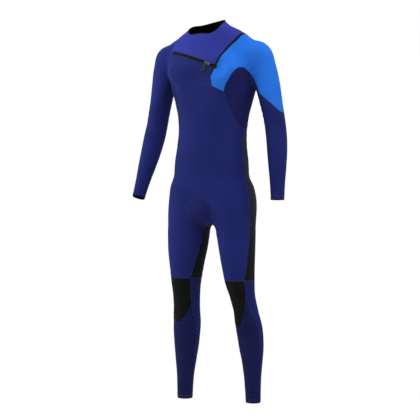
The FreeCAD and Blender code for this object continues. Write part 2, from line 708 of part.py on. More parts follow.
link_ring = turned_rod("link_ring", PULLER, (0, 0, LINK_LOW), UPRIGHT, f"{LINK_RADIUS}", f"{LINK_THICKNESS}")
link_arm = turned_box("link_arm", PULLER, (-2, -PIN_DROP, LINK_LOW), x="4", y=f"{PIN_DROP}", z=f"{LINK_THICKNESS}")
link_pin = turned_rod(
    "link_pin", PULLER, (-PIN_HALF, -PIN_DROP, PIN_RISE), CROSSWISE, "Sizes.pin_radius", f"{2 * PIN_HALF}"
)
link_bore = turned_rod("link_bore", PULLER, (0, 0, 0), UPRIGHT, "Sizes.post_radius + Sizes.running_gap", "3")
pieces["puller_link"] = cut("puller_link", fuse("link_whole", [link_ring, link_arm, link_pin]), link_bore)

EAR_IN, EAR_WIDTH = 2.3, 3.2
HALF_TAB = size("tab_thickness") / 2
tab_parts = [turned_box(
    "tab_grip", PULLER, (-size("tab_width") / 2, -PIN_DROP - TAB_DROP - size("tab_length"), PIN_RISE - HALF_TAB),
    x="Sizes.tab_width", y="Sizes.tab_length", z="Sizes.tab_thickness",
)]
for side, start in (("right", -EAR_IN - EAR_WIDTH), ("left", EAR_IN)):
    tab_parts.append(turned_rod(
        f"tab_eye_{side}", PULLER, (start, -PIN_DROP, PIN_RISE), CROSSWISE, f"{EYE_RADIUS}", f"{EAR_WIDTH}"
    ))
    tab_parts.append(turned_box(
        f"tab_ear_{side}", PULLER, (start, -PIN_DROP - 3, PIN_RISE - HALF_TAB),
        x=f"{EAR_WIDTH}", y="3", z="Sizes.tab_thickness",
    ))
tab_bore = turned_rod(
    "tab_bore", PULLER, (-8, -PIN_DROP, PIN_RISE), CROSSWISE, "Sizes.pin_radius + Sizes.running_gap", "16"
)
pieces["pull_tab"] = cut("pull_tab", fuse("tab_whole", tab_parts), tab_bore)

# ---- Cuffs: true rings across each limb's end ----
for part, radius in (
    ("left_arm", "wrist_radius"), ("right_arm", "wrist_radius"), ("left_leg", "ankle_radius"), ("right_leg", "ankle_radius")
):
    centre, down, _, _ = limb_frame(part, "hem")
    place = Placement(centre, Rotation(Vector(0, 0, 1), down))
    side, limb_word = part.split("_")
    name = f"{'wrist' if limb_word == 'arm' else 'ankle'}_cuff_{side}"
    ring = turned_rod(f"{name}_ring", place, (0, 0, 0), UPRIGHT, f"Sizes.{radius}", "Sizes.cuff_length")
    hollow = turned_rod(f"{name}_hollow", place, (0, 0, 0), UPRIGHT, f"Sizes.{radius} - Sizes.wall", "Sizes.cuff_length")
    pieces[name] = cut(name, ring, hollow)
    print(name, "centre", centre + down * (size("cuff_length") / 2), "axis", down)

doc.recompute()
for name, shape in panels.items():
    if name.startswith("zip_teeth") or name == "flap_zip_teeth":
        pieces[name] = feature(name, shape)
    else:
        pieces[name] = feature(name, main_solid(shape, name))
for name, obj in pieces.items():
    obj.Label = name

# ---- Checks, then one file for each piece ----
failed = [obj.Name for obj in doc.Objects if {"Invalid", "Error"} & set(obj.State)]
if failed:
    raise RuntimeError(f"these objects failed: {failed}")
for name, obj in pieces.items():
    if obj.Shape.isNull() or not obj.Shape.isValid():
        raise RuntimeError(f"{name} has no valid shape")
os.makedirs("parts", exist_ok=True)
for name, obj in pieces.items():
    obj.Shape.exportStep(f"parts/{name}.step")
    print(f"{name}: {len(obj.Shape.Solids)} solid, {measured_volume(obj.Shape) / 1000:.1f} cm3")

# ---- Joint axes ----
fold_from = front_surface(FOLD_START.x, FOLD_START.z) + outward * FOLD_STAND_OFF
fold_to = front_surface(FOLD_END.x, FOLD_END.z) + outward * FOLD_STAND_OFF
print("zip arc centre", arc_centre, "axis", upward)
print("fold from", fold_from, "axis", (fold_to - fold_from).normalize())
print("post", post_base, "axis", radial)
print("pin", PULLER.multVec(Vector(0, -PIN_DROP, PIN_RISE)), "axis", PULLER.Rotation.multVec(Vector(1, 0, 0)))
print("travel, degrees", SLIDER_PARKED - SLIDER_OPEN)
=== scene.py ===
"""A full wetsuit, standing as if worn. Lengths are in metres, in the frame of the CAD model.

The cloth starts as one smooth body, is cut along its seams into panels, and each panel gets its thickness.
"""
import math

import bmesh
import bpy
import numpy as np
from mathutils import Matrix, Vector


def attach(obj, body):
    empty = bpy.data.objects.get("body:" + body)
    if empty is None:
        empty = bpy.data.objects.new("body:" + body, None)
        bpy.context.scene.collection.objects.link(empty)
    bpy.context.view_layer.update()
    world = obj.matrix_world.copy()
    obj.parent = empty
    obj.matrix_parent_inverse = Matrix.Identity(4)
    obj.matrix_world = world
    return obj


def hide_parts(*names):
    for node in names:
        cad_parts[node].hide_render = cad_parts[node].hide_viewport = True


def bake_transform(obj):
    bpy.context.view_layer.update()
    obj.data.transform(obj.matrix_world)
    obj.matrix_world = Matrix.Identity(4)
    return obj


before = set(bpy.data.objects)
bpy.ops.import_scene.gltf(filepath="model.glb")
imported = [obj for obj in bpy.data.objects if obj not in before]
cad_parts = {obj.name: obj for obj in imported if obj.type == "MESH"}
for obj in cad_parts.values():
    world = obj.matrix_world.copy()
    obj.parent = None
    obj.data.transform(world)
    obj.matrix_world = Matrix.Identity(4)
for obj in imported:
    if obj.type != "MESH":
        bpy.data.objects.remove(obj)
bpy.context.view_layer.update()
MM = 0.001

# ---- Camera, at the photograph's angle ----
AZIMUTH, ELEVATION, DISTANCE, SENSOR, FURTHEST = math.radians(27), math.radians(3), 5.0, 36, 100
TARGET = Vector((0, 0, -0.735))
METRES_PER_PIXEL, IMAGE = 0.00394, 420
SHIFT_RIGHT, SHIFT_DOWN = 1.0, 1.5

camera_data = bpy.data.cameras.new("camera")
camera = bpy.data.objects.new("camera", camera_data)
bpy.context.scene.collection.objects.link(camera)
level = math.cos(ELEVATION)
back = Vector((math.sin(AZIMUTH) * level, -math.cos(AZIMUTH) * level, math.sin(ELEVATION)))
camera.location = TARGET + back * DISTANCE
camera.rotation_euler = back.to_track_quat("Z", "Y").to_euler()
camera_data.sensor_width = SENSOR
camera_data.lens = SENSOR * DISTANCE / (IMAGE * METRES_PER_PIXEL)
camera_data.shift_x = -SHIFT_RIGHT / IMAGE
camera_data.shift_y = SHIFT_DOWN / IMAGE
camera_data.clip_end = FURTHEST
bpy.context.scene.camera = camera

# ---- The body's form: stations in millimetres ----
# height, centre x, centre y, half breadth, front depth, back depth, squareness
TORSO = np.array([
    (80, 0, -30, 56, 60, 56, 2.0),
    (12, 3, -20, 62, 64, 60, 2.0),
    (-10, 8, -15, 78, 67, 64, 2.0),
    (-30, 14, -8, 112, 71, 70, 2.0),
    (-52, 12, 0, 146, 78, 76, 2.1),
    (-75, 0, 6, 170, 86, 82, 2.1),
    (-100, 2, 12, 176, 96, 89, 2.2),
    (-135, 4, 15, 180, 108, 98, 2.3),
    (-190, 4, 16, 180, 121, 106, 2.4),
    (-245, 6, 15, 172, 124, 108, 2.4),
    (-310, 8, 11, 156, 114, 100, 2.3),
    (-370, 8, 6, 144, 104, 92, 2.2),
    (-425, 7, 2, 140, 98, 88, 2.2),
    (-480, 5, 0, 144, 98, 88, 2.2),
    (-540, 3, 0, 152, 100, 94, 2.2),
    (-610, 1, 2, 156, 100, 100, 2.2),
    (-680, 0, 4, 161, 97, 104, 2.2),
    (-740, 0, 5, 166, 93, 102, 2.2),
    (-800, 0, 5, 168, 86, 94, 2.2),
]) / ([1000] * 6 + [1])
# height, centre x, centre y, half breadth, half depth
RIGHT_LEG = np.array([
    (-620, -88, 4, 76, 84),
    (-720, -93, 2, 82, 92),
    (-800, -97, 0, 83, 90),
    (-870, -101, -2, 79, 84),
    (-940, -105, -4, 69, 74),
    (-1010, -108, -4, 59, 65),
    (-1070, -110, 2, 53, 58),
    (-1120, -113, 10, 52, 55),
    (-1190, -116, 18, 54, 57),
    (-1260, -118, 18, 50, 52),
    (-1330, -119, 14, 42, 43),
    (-1400, -120, 10, 34, 35),
    (-1490, -121, 8, 31, 31),
    (-1560, -121, 8, 31, 31),
]) / 1000
LEFT_LEG = np.array([
    (-620, 92, 4, 76, 84),
    (-720, 102, 0, 80, 90),
    (-800, 110, -4, 77, 84),
    (-870, 117, -7, 71, 77),
    (-940, 123, -8, 64, 70),
    (-1010, 129, -5, 57, 62),
    (-1070, 137, 5, 49, 54),
    (-1120, 144, 18, 48, 52),
    (-1190, 151, 34, 52, 55),
    (-1260, 156, 42, 49, 51),
    (-1330, 160, 44, 40, 42),
    (-1400, 162, 44, 33, 34.5),
    (-1490, 164, 44, 30, 30),
    (-1560, 164, 44, 30, 30),
]) / 1000
RIGHT_ARM = np.array([
    (-100, -192, 24, 50, 52),
    (-170, -211, 28, 53, 57),
    (-240, -229, 32, 47, 52),
    (-310, -245, 36, 43, 48),
    (-380, -259, 36, 42, 45),
    (-440, -269, 28, 43, 46),
    (-500, -276, 11, 40, 45),
    (-560, -282, -12, 35, 40),
    (-620, -288, -36, 29, 33),
    (-680, -294, -60, 26, 29),
    (-760, -302, -92, 26, 29),
]) / 1000
LEFT_ARM = np.array([
    (-100, 190, 24, 50, 52),
    (-170, 209, 28, 53, 56),
    (-240, 228, 32, 49, 52),
    (-310, 243, 34, 44, 48),
    (-380, 258, 34, 41, 45),
    (-440, 267, 32, 40, 45),
    (-500, 272, 28, 38, 43),
    (-560, 275, 24, 34, 38),
    (-620, 278, 18, 29, 32),
    (-680, 281, 12, 26.5, 27.5),
    (-760, 284, 4, 26.5, 26.5),
]) / 1000
# centre, three radii, how softly it joins the rest
MUSCLES = np.array([
    (-189, 20, -134, 53, 57, 57, 35),
    (190, 20, -132, 54, 58, 60, 35),
    (-74, -70, -188, 76, 47, 62, 30),
    (82, -70, -188, 76, 47, 62, 30),
    (-76, 52, -700, 80, 64, 90, 40),
    (76, 52, -700, 80, 64, 90, 40),
    (0, -40, -725, 50, 60, 44, 40),
]) / 1000
BODY_LOW, BODY_HIGH = (-0.345, -0.140, -1.515), (0.335, 0.145, 0.060)
STEP = 0.0055
TRUNK_END, LEG_TOP, ARM_TOP = -0.772, -0.62, -0.10
# how softly the parts of the body run into each other
TRUNK_SOFT, LIMB_SOFT, LEGS_SOFT, HIP_SOFT, SHOULDER_SOFT = 0.05, 0.04, 0.012, 0.035, 0.022
TINY, LEAST_SLOPE = 1e-4, 0.05


def curve(z, table):
    """Each column of a table of stations at heights z, on monotone cubics through the stations."""
    x, y = table[::-1, 0], table[::-1, 1:]
    gap = np.diff(x)[:, None]
    slope = np.diff(y, axis=0) / gap
    tangent = np.zeros_like(y)
    tangent[0], tangent[-1] = slope[0], slope[-1]
    before, after = slope[:-1], slope[1:]
    same = before * after > 0
    w1, w2 = 2 * gap[1:] + gap[:-1], gap[1:] + 2 * gap[:-1]
    mean = (w1 + w2) / (w1 / np.where(same, before, 1) + w2 / np.where(same, after, 1))
    tangent[1:-1] = np.where(same, mean, 0)
    z = np.clip(z, x[0], x[-1])
    i = np.clip(np.searchsorted(x, z) - 1, 0, len(x) - 2)
    t = ((z - x[i]) / gap[i, 0])[:, None]
    return (
        (2 * t**3 - 3 * t**2 + 1) * y[i]
        + (t**3 - 2 * t**2 + t) * gap[i] * tangent[i]
        + (-2 * t**3 + 3 * t**2) * y[i + 1]
        + (t**3 - t**2) * gap[i] * tangent[i + 1]
    )


def smooth_min(a, b, k):
    share = np.clip(0.5 + 0.5 * (b - a) / k, 0, 1)
    return b + (a - b) * share - k * share * (1 - share)


def smooth_max(a, b, k):
    return -smooth_min(-a, -b, k)


def smoothstep(t):
    t = np.clip(t, 0, 1)
    return t * t * (3 - 2 * t)


def outside_by(r, rho):
    """About the distance past a form's edge. rho is the distance r to its middle, counted in its radii."""
    return r - r / np.maximum(rho, TINY)


def trunk_field(p):
    xc, yc, breadth, front, rear, power = curve(p[:, 2], TORSO).T
    dx, dy = p[:, 0] - xc, p[:, 1] - yc
    depth = np.where(dy < 0, front, rear)
    rho = (np.abs(dx / breadth) ** power + np.abs(dy / depth) ** power) ** (1 / power)
    return smooth_max(outside_by(np.hypot(dx, dy), rho), TRUNK_END - p[:, 2], TRUNK_SOFT)


def limb_field(p, table, top):
    xc, yc, breadth, depth = curve(p[:, 2], table).T
    dx, dy = p[:, 0] - xc, p[:, 1] - yc
    rho = np.hypot(dx / breadth, dy / depth)
    return smooth_max(outside_by(np.hypot(dx, dy), rho), p[:, 2] - top, LIMB_SOFT)


def blob_field(p, centre, radii):
    return outside_by(np.linalg.norm(p - centre, axis=1), np.linalg.norm((p - centre) / radii, axis=1))


def body_field(p):
    """About the distance outside the worn suit's outer face, negative inside."""
    legs = smooth_min(limb_field(p, RIGHT_LEG, LEG_TOP), limb_field(p, LEFT_LEG, LEG_TOP), LEGS_SOFT)
    d = smooth_min(trunk_field(p), legs, HIP_SOFT)
    for muscle in MUSCLES:
        d = smooth_min(d, blob_field(p, muscle[:3], muscle[3:6]), muscle[6])
    for table in (RIGHT_ARM, LEFT_ARM):
        d = smooth_min(d, limb_field(p, table, ARM_TOP), SHOULDER_SOFT)
    return d


def gradient(p, field=body_field, reach=TINY):
    axes = np.eye(3) * reach
    return np.stack([(field(p + a) - field(p - a)) / (2 * reach) for a in axes], 1)


def surface_nets(low, high, step):
    """Quads of the field's zero surface on a grid: one point in each cell that the surface crosses."""
    axes = [np.arange(a, b + step, step) for a, b in zip(low, high)]
    shape = [len(a) for a in axes]
    values = np.empty(shape, np.float32)
    y, z = np.meshgrid(axes[1], axes[2], indexing="ij")
    for i, x in enumerate(axes[0]):
        p = np.column_stack([np.full(y.size, x), y.ravel(), z.ravel()])
        values[i] = body_field(p).reshape(shape[1], shape[2])
    inside = values < 0
    cells = [n - 1 for n in shape]
    total = np.zeros(cells + [3])
    count = np.zeros(cells, int)

    def corner_block(a, c):
        return a[c[0]:c[0] + cells[0], c[1]:c[1] + cells[1], c[2]:c[2] + cells[2]]

    for c0 in [(i, j, k) for i in (0, 1) for j in (0, 1) for k in (0, 1)]:
        for axis in range(3):
            if c0[axis]:
                continue
            c1 = tuple(c0[k] + (k == axis) for k in range(3))
            v0, v1 = corner_block(values, c0), corner_block(values, c1)
            cross = corner_block(inside, c0) != corner_block(inside, c1)
            t = np.where(cross, v0 / np.where(cross, v0 - v1, 1), 0)
            for k in range(3):
                total[..., k] += np.where(cross, c0[k] + (t if k == axis else 0), 0)
            count += cross
    used = count > 0
    index = np.full(cells, -1)
    index[used] = np.arange(used.sum())
    points = (np.argwhere(used) + total[used] / count[used][:, None]) * step + np.array(low)
    quads = []
    for axis in range(3):
        u, v = (axis + 1) % 3, (axis + 2) % 3
        start = [slice(1, -1)] * 3
        start[axis] = slice(0, -1)
        end = list(start)
        end[axis] = slice(1, None)
        a, b = inside[tuple(start)], inside[tuple(end)]
        where = np.argwhere(a != b)
        offset = np.ones(3, int)
        offset[axis] = 0
        where = where + offset
        flip = inside[tuple(where.T)]
        corners = []
        for du, dv in ((0, 0), (1, 0), (1, 1), (0, 1)):
            cell = where.copy()
            cell[:, u] -= du
            cell[:, v] -= dv
            corners.append(index[tuple(cell.T)])
        quad = np.stack(corners, 1)
        quad[~flip] = quad[~flip][:, ::-1]
        quads.append(quad)
    quads = np.concatenate(quads)
    return points, quads[(quads >= 0).all(1)]


def project(points, rounds=2):
    for _ in range(rounds):
        g = gradient(points)
        points = points - g * (body_field(points) / np.maximum((g**2).sum(1), LEAST_SLOPE))[:, None]
    return points


def relax(points, edges, rounds):
    """Evens out the spacing of the points along the surface, each halfway to its neighbours' middle."""
    for _ in range(rounds):
        total = np.zeros_like(points)
        count = np.zeros(len(points))
        for a, b in ((0, 1), (1, 0)):
            np.add.at(total, edges[:, a], points[edges[:, b]])
            np.add.at(count, edges[:, a], 1)
        points = points + 0.5 * (total / np.maximum(count, 1)[:, None] - points)
        points = project(points, 1)
    return points


# ---- The zip's arc: local directions out of the chest, along the zip and up across it ----
def unit(v):
    v = np.array(v, float)
    return v / np.linalg.norm(v)


ZIP_RIGHT_END = np.array((-0.134, -0.054, -0.112))
ZIP_LEFT_END = np.array((0.072, -0.104, -0.174))
CHEST_NORMAL = np.array((-0.05, -0.96, 0.27))
ZIP_RADIUS, ZIP_BULGE = 0.315, 0.020
ALONG = unit(ZIP_LEFT_END - ZIP_RIGHT_END)
OUTWARD = unit(CHEST_NORMAL - ALONG * CHEST_NORMAL.dot(ALONG))
UPWARD = np.cross(OUTWARD, ALONG)
ARC_CENTRE = (ZIP_LEFT_END + ZIP_RIGHT_END) / 2 - OUTWARD * (ZIP_RADIUS - ZIP_BULGE)


def from_zip(radius, angle, across):
    """Points from radius, angle along the arc in degrees and distance up across it."""
    radius, angle, across = np.broadcast_arrays(*[np.array(v, float) for v in (radius, angle, across)])
    turn = np.radians(angle)
    out = OUTWARD * np.cos(turn)[..., None] + ALONG * np.sin(turn)[..., None]
    return ARC_CENTRE + out * radius[..., None] + UPWARD * across[..., None]


def to_zip(p):
    q = p - ARC_CENTRE
    x, y, z = q @ OUTWARD, q @ ALONG, q @ UPWARD
    return np.hypot(x, y), np.degrees(np.arctan2(y, x)), z


FLAT_ACROSS, FADE_ACROSS, FLAT_ANGLE, FADE_ANGLE = 0.010, 0.050, 22.5, 9


def flatten_to_zip(p):
    """Brings the chest to the zip's arc near the zip and lets it go back to the body's form further off."""
    radius, angle, across = to_zip(p)
    near = smoothstep(1 - (np.abs(across) - FLAT_ACROSS) / FADE_ACROSS)
    near = near * smoothstep(1 - (np.abs(angle) - FLAT_ANGLE) / FADE_ANGLE)
    out = unit_rows((p - ARC_CENTRE) - np.outer((p - ARC_CENTRE) @ UPWARD, UPWARD))
    front = p[:, 1] < 0
    return p + out * (np.where(front, near, 0) * (ZIP_RADIUS - radius))[:, None]


# soft creases: centre, direction across them, spacing, height, reach
CREASES = [
    ((-0.236, 0.020, -0.345), (-0.3, 0.1, -1.0), 0.026, 0.0009, 0.050),
    ((0.222, 0.030, -0.350), (0.2, 0.2, -1.0), 0.024, 0.0009, 0.050),
    ((-0.165, -0.030, -0.190), (-0.8, 0.0, -0.6), 0.022, 0.0008, 0.045),
    ((0.165, -0.030, -0.200), (0.8, 0.0, -0.6), 0.022, 0.0008, 0.045),
    ((-0.105, 0.040, -0.985), (0.0, 0.2, -1.0), 0.024, 0.0010, 0.055),
    ((0.135, 0.075, -0.985), (0.0, 0.2, -1.0), 0.024, 0.0010, 0.055),
    ((-0.060, -0.070, -0.760), (-0.6, 0.0, -0.8), 0.030, 0.0007, 0.055),
    ((0.070, -0.070, -0.760), (0.6, 0.0, -0.8), 0.030, 0.0007, 0.055),
    ((0.120, 0.000, -0.400), (0.2, 0.0, -1.0), 0.034, 0.0006, 0.060),
]
DRIFT, DRIFT_WAVES = 0.9, np.array((31.0, 23.0, 9.0))


def crease(p):
    """Moves the cloth in and out by a fraction of its thickness where the suit folds when worn."""
    offset = np.zeros(len(p))
    for centre, across, spacing, height, reach in CREASES:
        from_centre = p - np.array(centre)
        fade = np.exp(-((from_centre**2).sum(1)) / reach**2)
        drift = DRIFT * np.sin(from_centre @ DRIFT_WAVES)
        offset += height * fade * np.sin(2 * np.pi * (from_centre @ unit(np.array(across))) / spacing + drift)
    return p + offset[:, None] * unit_rows(gradient(p))


def unit_rows(v):
    return v / np.maximum(np.linalg.norm(v, axis=1), 1e-12)[:, None]


# ---- Seams ----
# Outlines in the front view, (x, z) in millimetres. The wearer's left is +x.
BOUND_EDGE = [(158, -20), (151, -48), (136, -72), (115, -96), (99, -122), (84, -151), (72, -173)]
BOUND_EDGE_LOW = [(72, -173), (60, -196), (56, -222), (59, -248)]
LEFT_ARCH = [
    (102, -269), (110, -247), (130, -217), (148, -190), (164, -177), (181, -198), (199, -239), (214, -276)
]
LEFT_SLEEVE_EDGE = [(214, -276), (259, -311), (293, -348), (330, -372)]
RIGHT_RAGLAN = [(-112, -10), (-122, -40), (-141, -75), (-151, -112), (-147, -160), (-118, -215), (-84, -255)]
RIGHT_ARCH = [
    (-112, -272), (-120, -244), (-138, -213), (-164, -177), (-181, -198), (-199, -239), (-214, -276)
]
RIGHT_SLEEVE_EDGE = [(-x, z) for x, z in LEFT_SLEEVE_EDGE]
LEFT_SIDE_SEAM = [(102, -269), (108, -307), (122, -352), (134, -387), (147, -408)]
RIGHT_SIDE_SEAM = [(-112, -272), (-112, -307), (-118, -352), (-128, -387), (-139, -408)]
UNDER_CHEST = [(-200, -262), (-100, -241), (-55, -232), (0, -236), (59, -248), (102, -269)]
GUSSET = [
    (-48, -724), (-38, -694), (-12, -679), (25, -684), (46, -708), (50, -745), (44, -800), (0, -830),
    (-40, -800),
]
KNEE_PAD_RIGHT = [
    (-64, -980), (-64, -1060), (-84, -1130), (-120, -1172), (-158, -1168), (-182, -1130), (-190, -980)
]
KNEE_PAD_LEFT = [(60, -980), (66, -1080), (92, -1160), (130, -1182), (158, -1130), (170, -1060), (172, -980)]
# Outlines in the side view, (y, z).
REAR_SEAM = [
    (13, -408), (-14, -438), (-22, -480), (-20, -530), (-22, -628), (-26, -700), (-32, -816), (-42, -900),
    (-52, -998),
]
CALF_SEAM_RIGHT = [(-52, -998), (-32, -1090), (-4, -1190), (6, -1290), (9, -1400), (10, -1480)]
CALF_SEAM_LEFT = [(-52, -998), (-26, -1090), (14, -1190), (36, -1290), (42, -1400), (43, -1480)]
WAIST, KNEE, TOP, REACH = -408, -998, 80, 400
ARM_LINE = [(179, TOP), (179, -340), (205, -420), (228, -720), (REACH, -720), (REACH, TOP)]
ZIP_LINE = [(-175, -98), (-134, -112), (-34, -138), (72, -174), (110, -186)]
UPPER_BACK, BINDING_WIDTH, BINDING_REACH = 3, 9, -20


def smooth_line(points, steps=12):
    """Points along a smooth curve through the given ones; two points make a straight line."""
    points = [np.array(p, float) for p in points]
    if len(points) == 2:
        return points
    ends = [2 * points[0] - points[1]] + points + [2 * points[-1] - points[-2]]
    line = []
    for a, b, c, d in zip(ends, ends[1:], ends[2:], ends[3:]):
        for i in range(steps):
            t = i / steps
            bend = (2 * a - 5 * b + 4 * c - d) * t**2 + (3 * b - a - 3 * c + d) * t**3
            line.append(0.5 * (2 * b + (c - a) * t + bend))
    return line + [points[-1]]


def outline(*pieces):
    """A closed polygon, in metres. A list of points is a smooth curve and a single point is a corner."""
    loop = []
    for piece in pieces:
        loop += smooth_line(piece) if isinstance(piece, list) else [np.array(piece, float)]
    return np.array(loop) * MM


def offset_seam(points, distance):
    """A seam moved sideways in the front view, to the right of its own direction."""
    moved = []
    for i, (x, z) in enumerate(points):
        before, after = points[max(i - 1, 0)], points[min(i + 1, len(points) - 1)]
        step = unit((after[0] - before[0], after[1] - before[1]))
        moved.append((x + distance * step[1], z - distance * step[0]))
    return moved


def polygon_field(loop, first, second, batch=20000):
    """Distance from a polygon in the plane of two axes, negative inside it."""
    a, b = loop, np.roll(loop, -1, axis=0)
    run = b - a

    def field(p):
        q = p[:, (first, second)]
        result = np.empty(len(q))
        for start in range(0, len(q), batch):
            part = q[start:start + batch, None]
            t = np.clip(((part - a) * run).sum(2) / np.maximum((run**2).sum(1), 1e-15), 0, 1)
            distance = np.sqrt((((part - a) - t[..., None] * run) ** 2).sum(2)).min(1)
            above_a, above_b = part[..., 1] < a[:, 1], part[..., 1] < b[:, 1]
            rise = np.where(b[:, 1] == a[:, 1], 1, b[:, 1] - a[:, 1])
            cross_x = a[:, 0] + (part[..., 1] - a[:, 1]) / rise * (b[:, 0] - a[:, 0])
            inside = (((above_a != above_b) & (part[..., 0] < cross_x)).sum(1) % 2) == 1
            result[start:start + batch] = np.where(inside, -distance, distance)
        return result

    return field


def in_front_view(*pieces):
    return polygon_field(outline(*pieces), 0, 2)


def in_side_view(*pieces):
    return polygon_field(outline(*pieces), 1, 2)


def beyond(origin, direction):
    """Inside where a point lies beyond a plane, along its direction."""
    origin, direction = np.array(origin, float), unit(direction)
    return lambda p: -(p - origin) @ direction


def both(*fields):
    return lambda p: np.maximum.reduce([f(p) for f in fields])


def side_pairs(rows):
    """Pairs of entries along the sides of each row's polygon: all the first sides, then all the second."""
    count = rows.shape[1]
    return np.concatenate([rows[:, (k, (k + 1) % count)] for k in range(count)])


SEAM_SIDE, ON_SEAM = 0.0025, 2e-5
SNAP_FROM, SNAP_MOVE = 0.3 * STEP, 0.35 * STEP


class Cloth:
    """One triangle mesh whose triangles carry a panel's name. Seams are cut into it one after another."""

    def __init__(self, points, triangles, panel):
        self.points, self.triangles = points, triangles
        self.names = [panel]
        self.label = np.zeros(len(triangles), int)
        self.seams = []
        self.on_seam = np.zeros((len(points), 0), bool)

    def name_id(self, name):
        if name not in self.names:
            self.names.append(name)
        return self.names.index(name)

    def add_points(self, pairs, share, seam):
        """New points between pairs of old ones. They keep the seams that both lie on."""
        a, b = pairs[:, 0], pairs[:, 1]
        new = self.points[a] * (1 - share)[:, None] + self.points[b] * share[:, None]
        tags = self.on_seam[a] & self.on_seam[b]
        if seam is not None:
            tags[:, seam] = True
        first = len(self.points)
        self.points = np.concatenate([self.points, new])
        self.on_seam = np.concatenate([self.on_seam, tags])
        return np.arange(first, first + len(new))

    def cut_at(self, chosen, values, level, seam):
        """Cuts the chosen triangles where values pass a level. Returns the new choice and values."""
        v = values - level
        v[np.abs(v) < ON_SEAM] = 0
        if seam is not None:
            used = np.unique(self.triangles[chosen])
            self.on_seam[used[v[used] == 0], seam] = True
        tri = self.triangles[chosen]
        sign = np.sign(v[tri])
        mixed = (sign.min(1) < 0) & (sign.max(1) > 0)
        if not mixed.any():
            return chosen, values
        ids = np.flatnonzero(chosen)[mixed]
        tri, sign = tri[mixed], sign[mixed]
        edges = side_pairs(tri)
        crossing = side_pairs(sign).prod(1) < 0
        keys = np.sort(edges[crossing], axis=1)
        unique, inverse = np.unique(keys, axis=0, return_inverse=True)
        inverse = inverse.ravel()
        share = v[unique[:, 0]] / (v[unique[:, 0]] - v[unique[:, 1]])
        new = self.add_points(unique, share, seam)
        values = np.concatenate([values, np.full(len(new), level)])
        middle = np.full(len(edges), -1)
        middle[crossing] = new[inverse]
        middle = middle.reshape(3, -1).T
        pieces, owner = [], []
        three = (sign == 0).any(1)
        for k in range(3):
            a, b, c = tri[:, k], tri[:, (k + 1) % 3], tri[:, (k + 2) % 3]
            ab, bc, ca = middle[:, k], middle[:, (k + 1) % 3], middle[:, (k + 2) % 3]
            sel = three & (sign[:, k] == 0)
            pieces += [np.stack([a, b, bc], 1)[sel], np.stack([a, bc, c], 1)[sel]]
            owner += [ids[sel]] * 2
            alone = ~three & (sign[:, k] != sign[:, (k + 1) % 3]) & (sign[:, k] != sign[:, (k + 2) % 3])
            pieces += [
                np.stack([a, ab, ca], 1)[alone],
                np.stack([ab, b, c], 1)[alone],
                np.stack([ab, c, ca], 1)[alone],
            ]
            owner += [ids[alone]] * 3
        added = np.concatenate(pieces)
        labels = self.label[np.concatenate(owner)]
        keep = np.ones(len(self.triangles), bool)
        keep[ids] = False
        chosen = np.concatenate([chosen[keep], np.ones(len(added), bool)])
        self.triangles = np.concatenate([self.triangles[keep], added])
        self.label = np.concatenate([self.label[keep], labels])
        return chosen, values

    def snap(self, chosen, field, values):
        """Moves points that lie nearly on the seam onto it, along the cloth."""
        used = np.unique(self.triangles[chosen])
        free = used[~self.on_seam[used].any(1)]
        close = free[np.abs(values[free]) < SNAP_FROM]
        if not len(close):
            return values
        p = self.points[close]
        g = gradient(p, field, 2e-4)
        n = self.normals()[close]
        g = g - (g * n).sum(1)[:, None] * n
        size2 = (g**2).sum(1)
        move = -g * (values[close] / np.maximum(size2, 1e-9))[:, None]
        good = (np.linalg.norm(move, axis=1) < SNAP_MOVE) & (size2 > LEAST_SLOPE)
        self.points[close[good]] += move[good]
        values = values.copy()
        values[close[good]] = 0
        return values

    def normals(self):
        p, t = self.points, self.triangles
        face = np.cross(p[t[:, 1]] - p[t[:, 0]], p[t[:, 2]] - p[t[:, 0]])
        total = np.zeros_like(p)
        for k in range(3):
            np.add.at(total, t[:, k], face)
        return unit_rows(total)

    def divide(self, panel, field, inside, outside=None, soft=True):
        """Cuts a panel along a field's zero. The part inside takes a new name. Soft seams get a row of
        points on each side, for the stitched groove."""
        source = self.name_id(panel)
        self.seams.append((inside, outside or panel))
        self.on_seam = np.column_stack([self.on_seam, np.zeros(len(self.points), bool)])
        seam = len(self.seams) - 1
        chosen = self.label == source
        used = np.unique(self.triangles[chosen])
        values = np.full(len(self.points), np.nan)
        values[used] = field(self.points[used])
        values = self.snap(chosen, field, values)
        levels = (0, -SEAM_SIDE, SEAM_SIDE) if soft else (0,)
        for level in levels:
            chosen, values = self.cut_at(chosen, values, level, seam if level == 0 else None)
        centre = values[self.triangles[chosen]].mean(1)
        ids = np.flatnonzero(chosen)
        self.label[ids[centre < 0]] = self.name_id(inside)
        if outside:
            self.label[ids[centre >= 0]] = self.name_id(outside)
        return seam


# ---- The body, cut into panels ----
points, quads = surface_nets(BODY_LOW, BODY_HIGH, STEP)
sides = np.unique(np.sort(side_pairs(quads), axis=1), axis=0)
points = project(relax(project(points), sides, 4))
diagonal_a = np.linalg.norm(points[quads[:, 0]] - points[quads[:, 2]], axis=1)
diagonal_b = np.linalg.norm(points[quads[:, 1]] - points[quads[:, 3]], axis=1)
by_a = (diagonal_a <= diagonal_b)[:, None]
first_half = np.where(by_a, quads[:, (0, 1, 2)], quads[:, (0, 1, 3)])
second_half = np.where(by_a, quads[:, (0, 2, 3)], quads[:, (1, 2, 3)])
points = crease(flatten_to_zip(points))
cloth = Cloth(points, np.concatenate([first_half, second_half]), "suit")

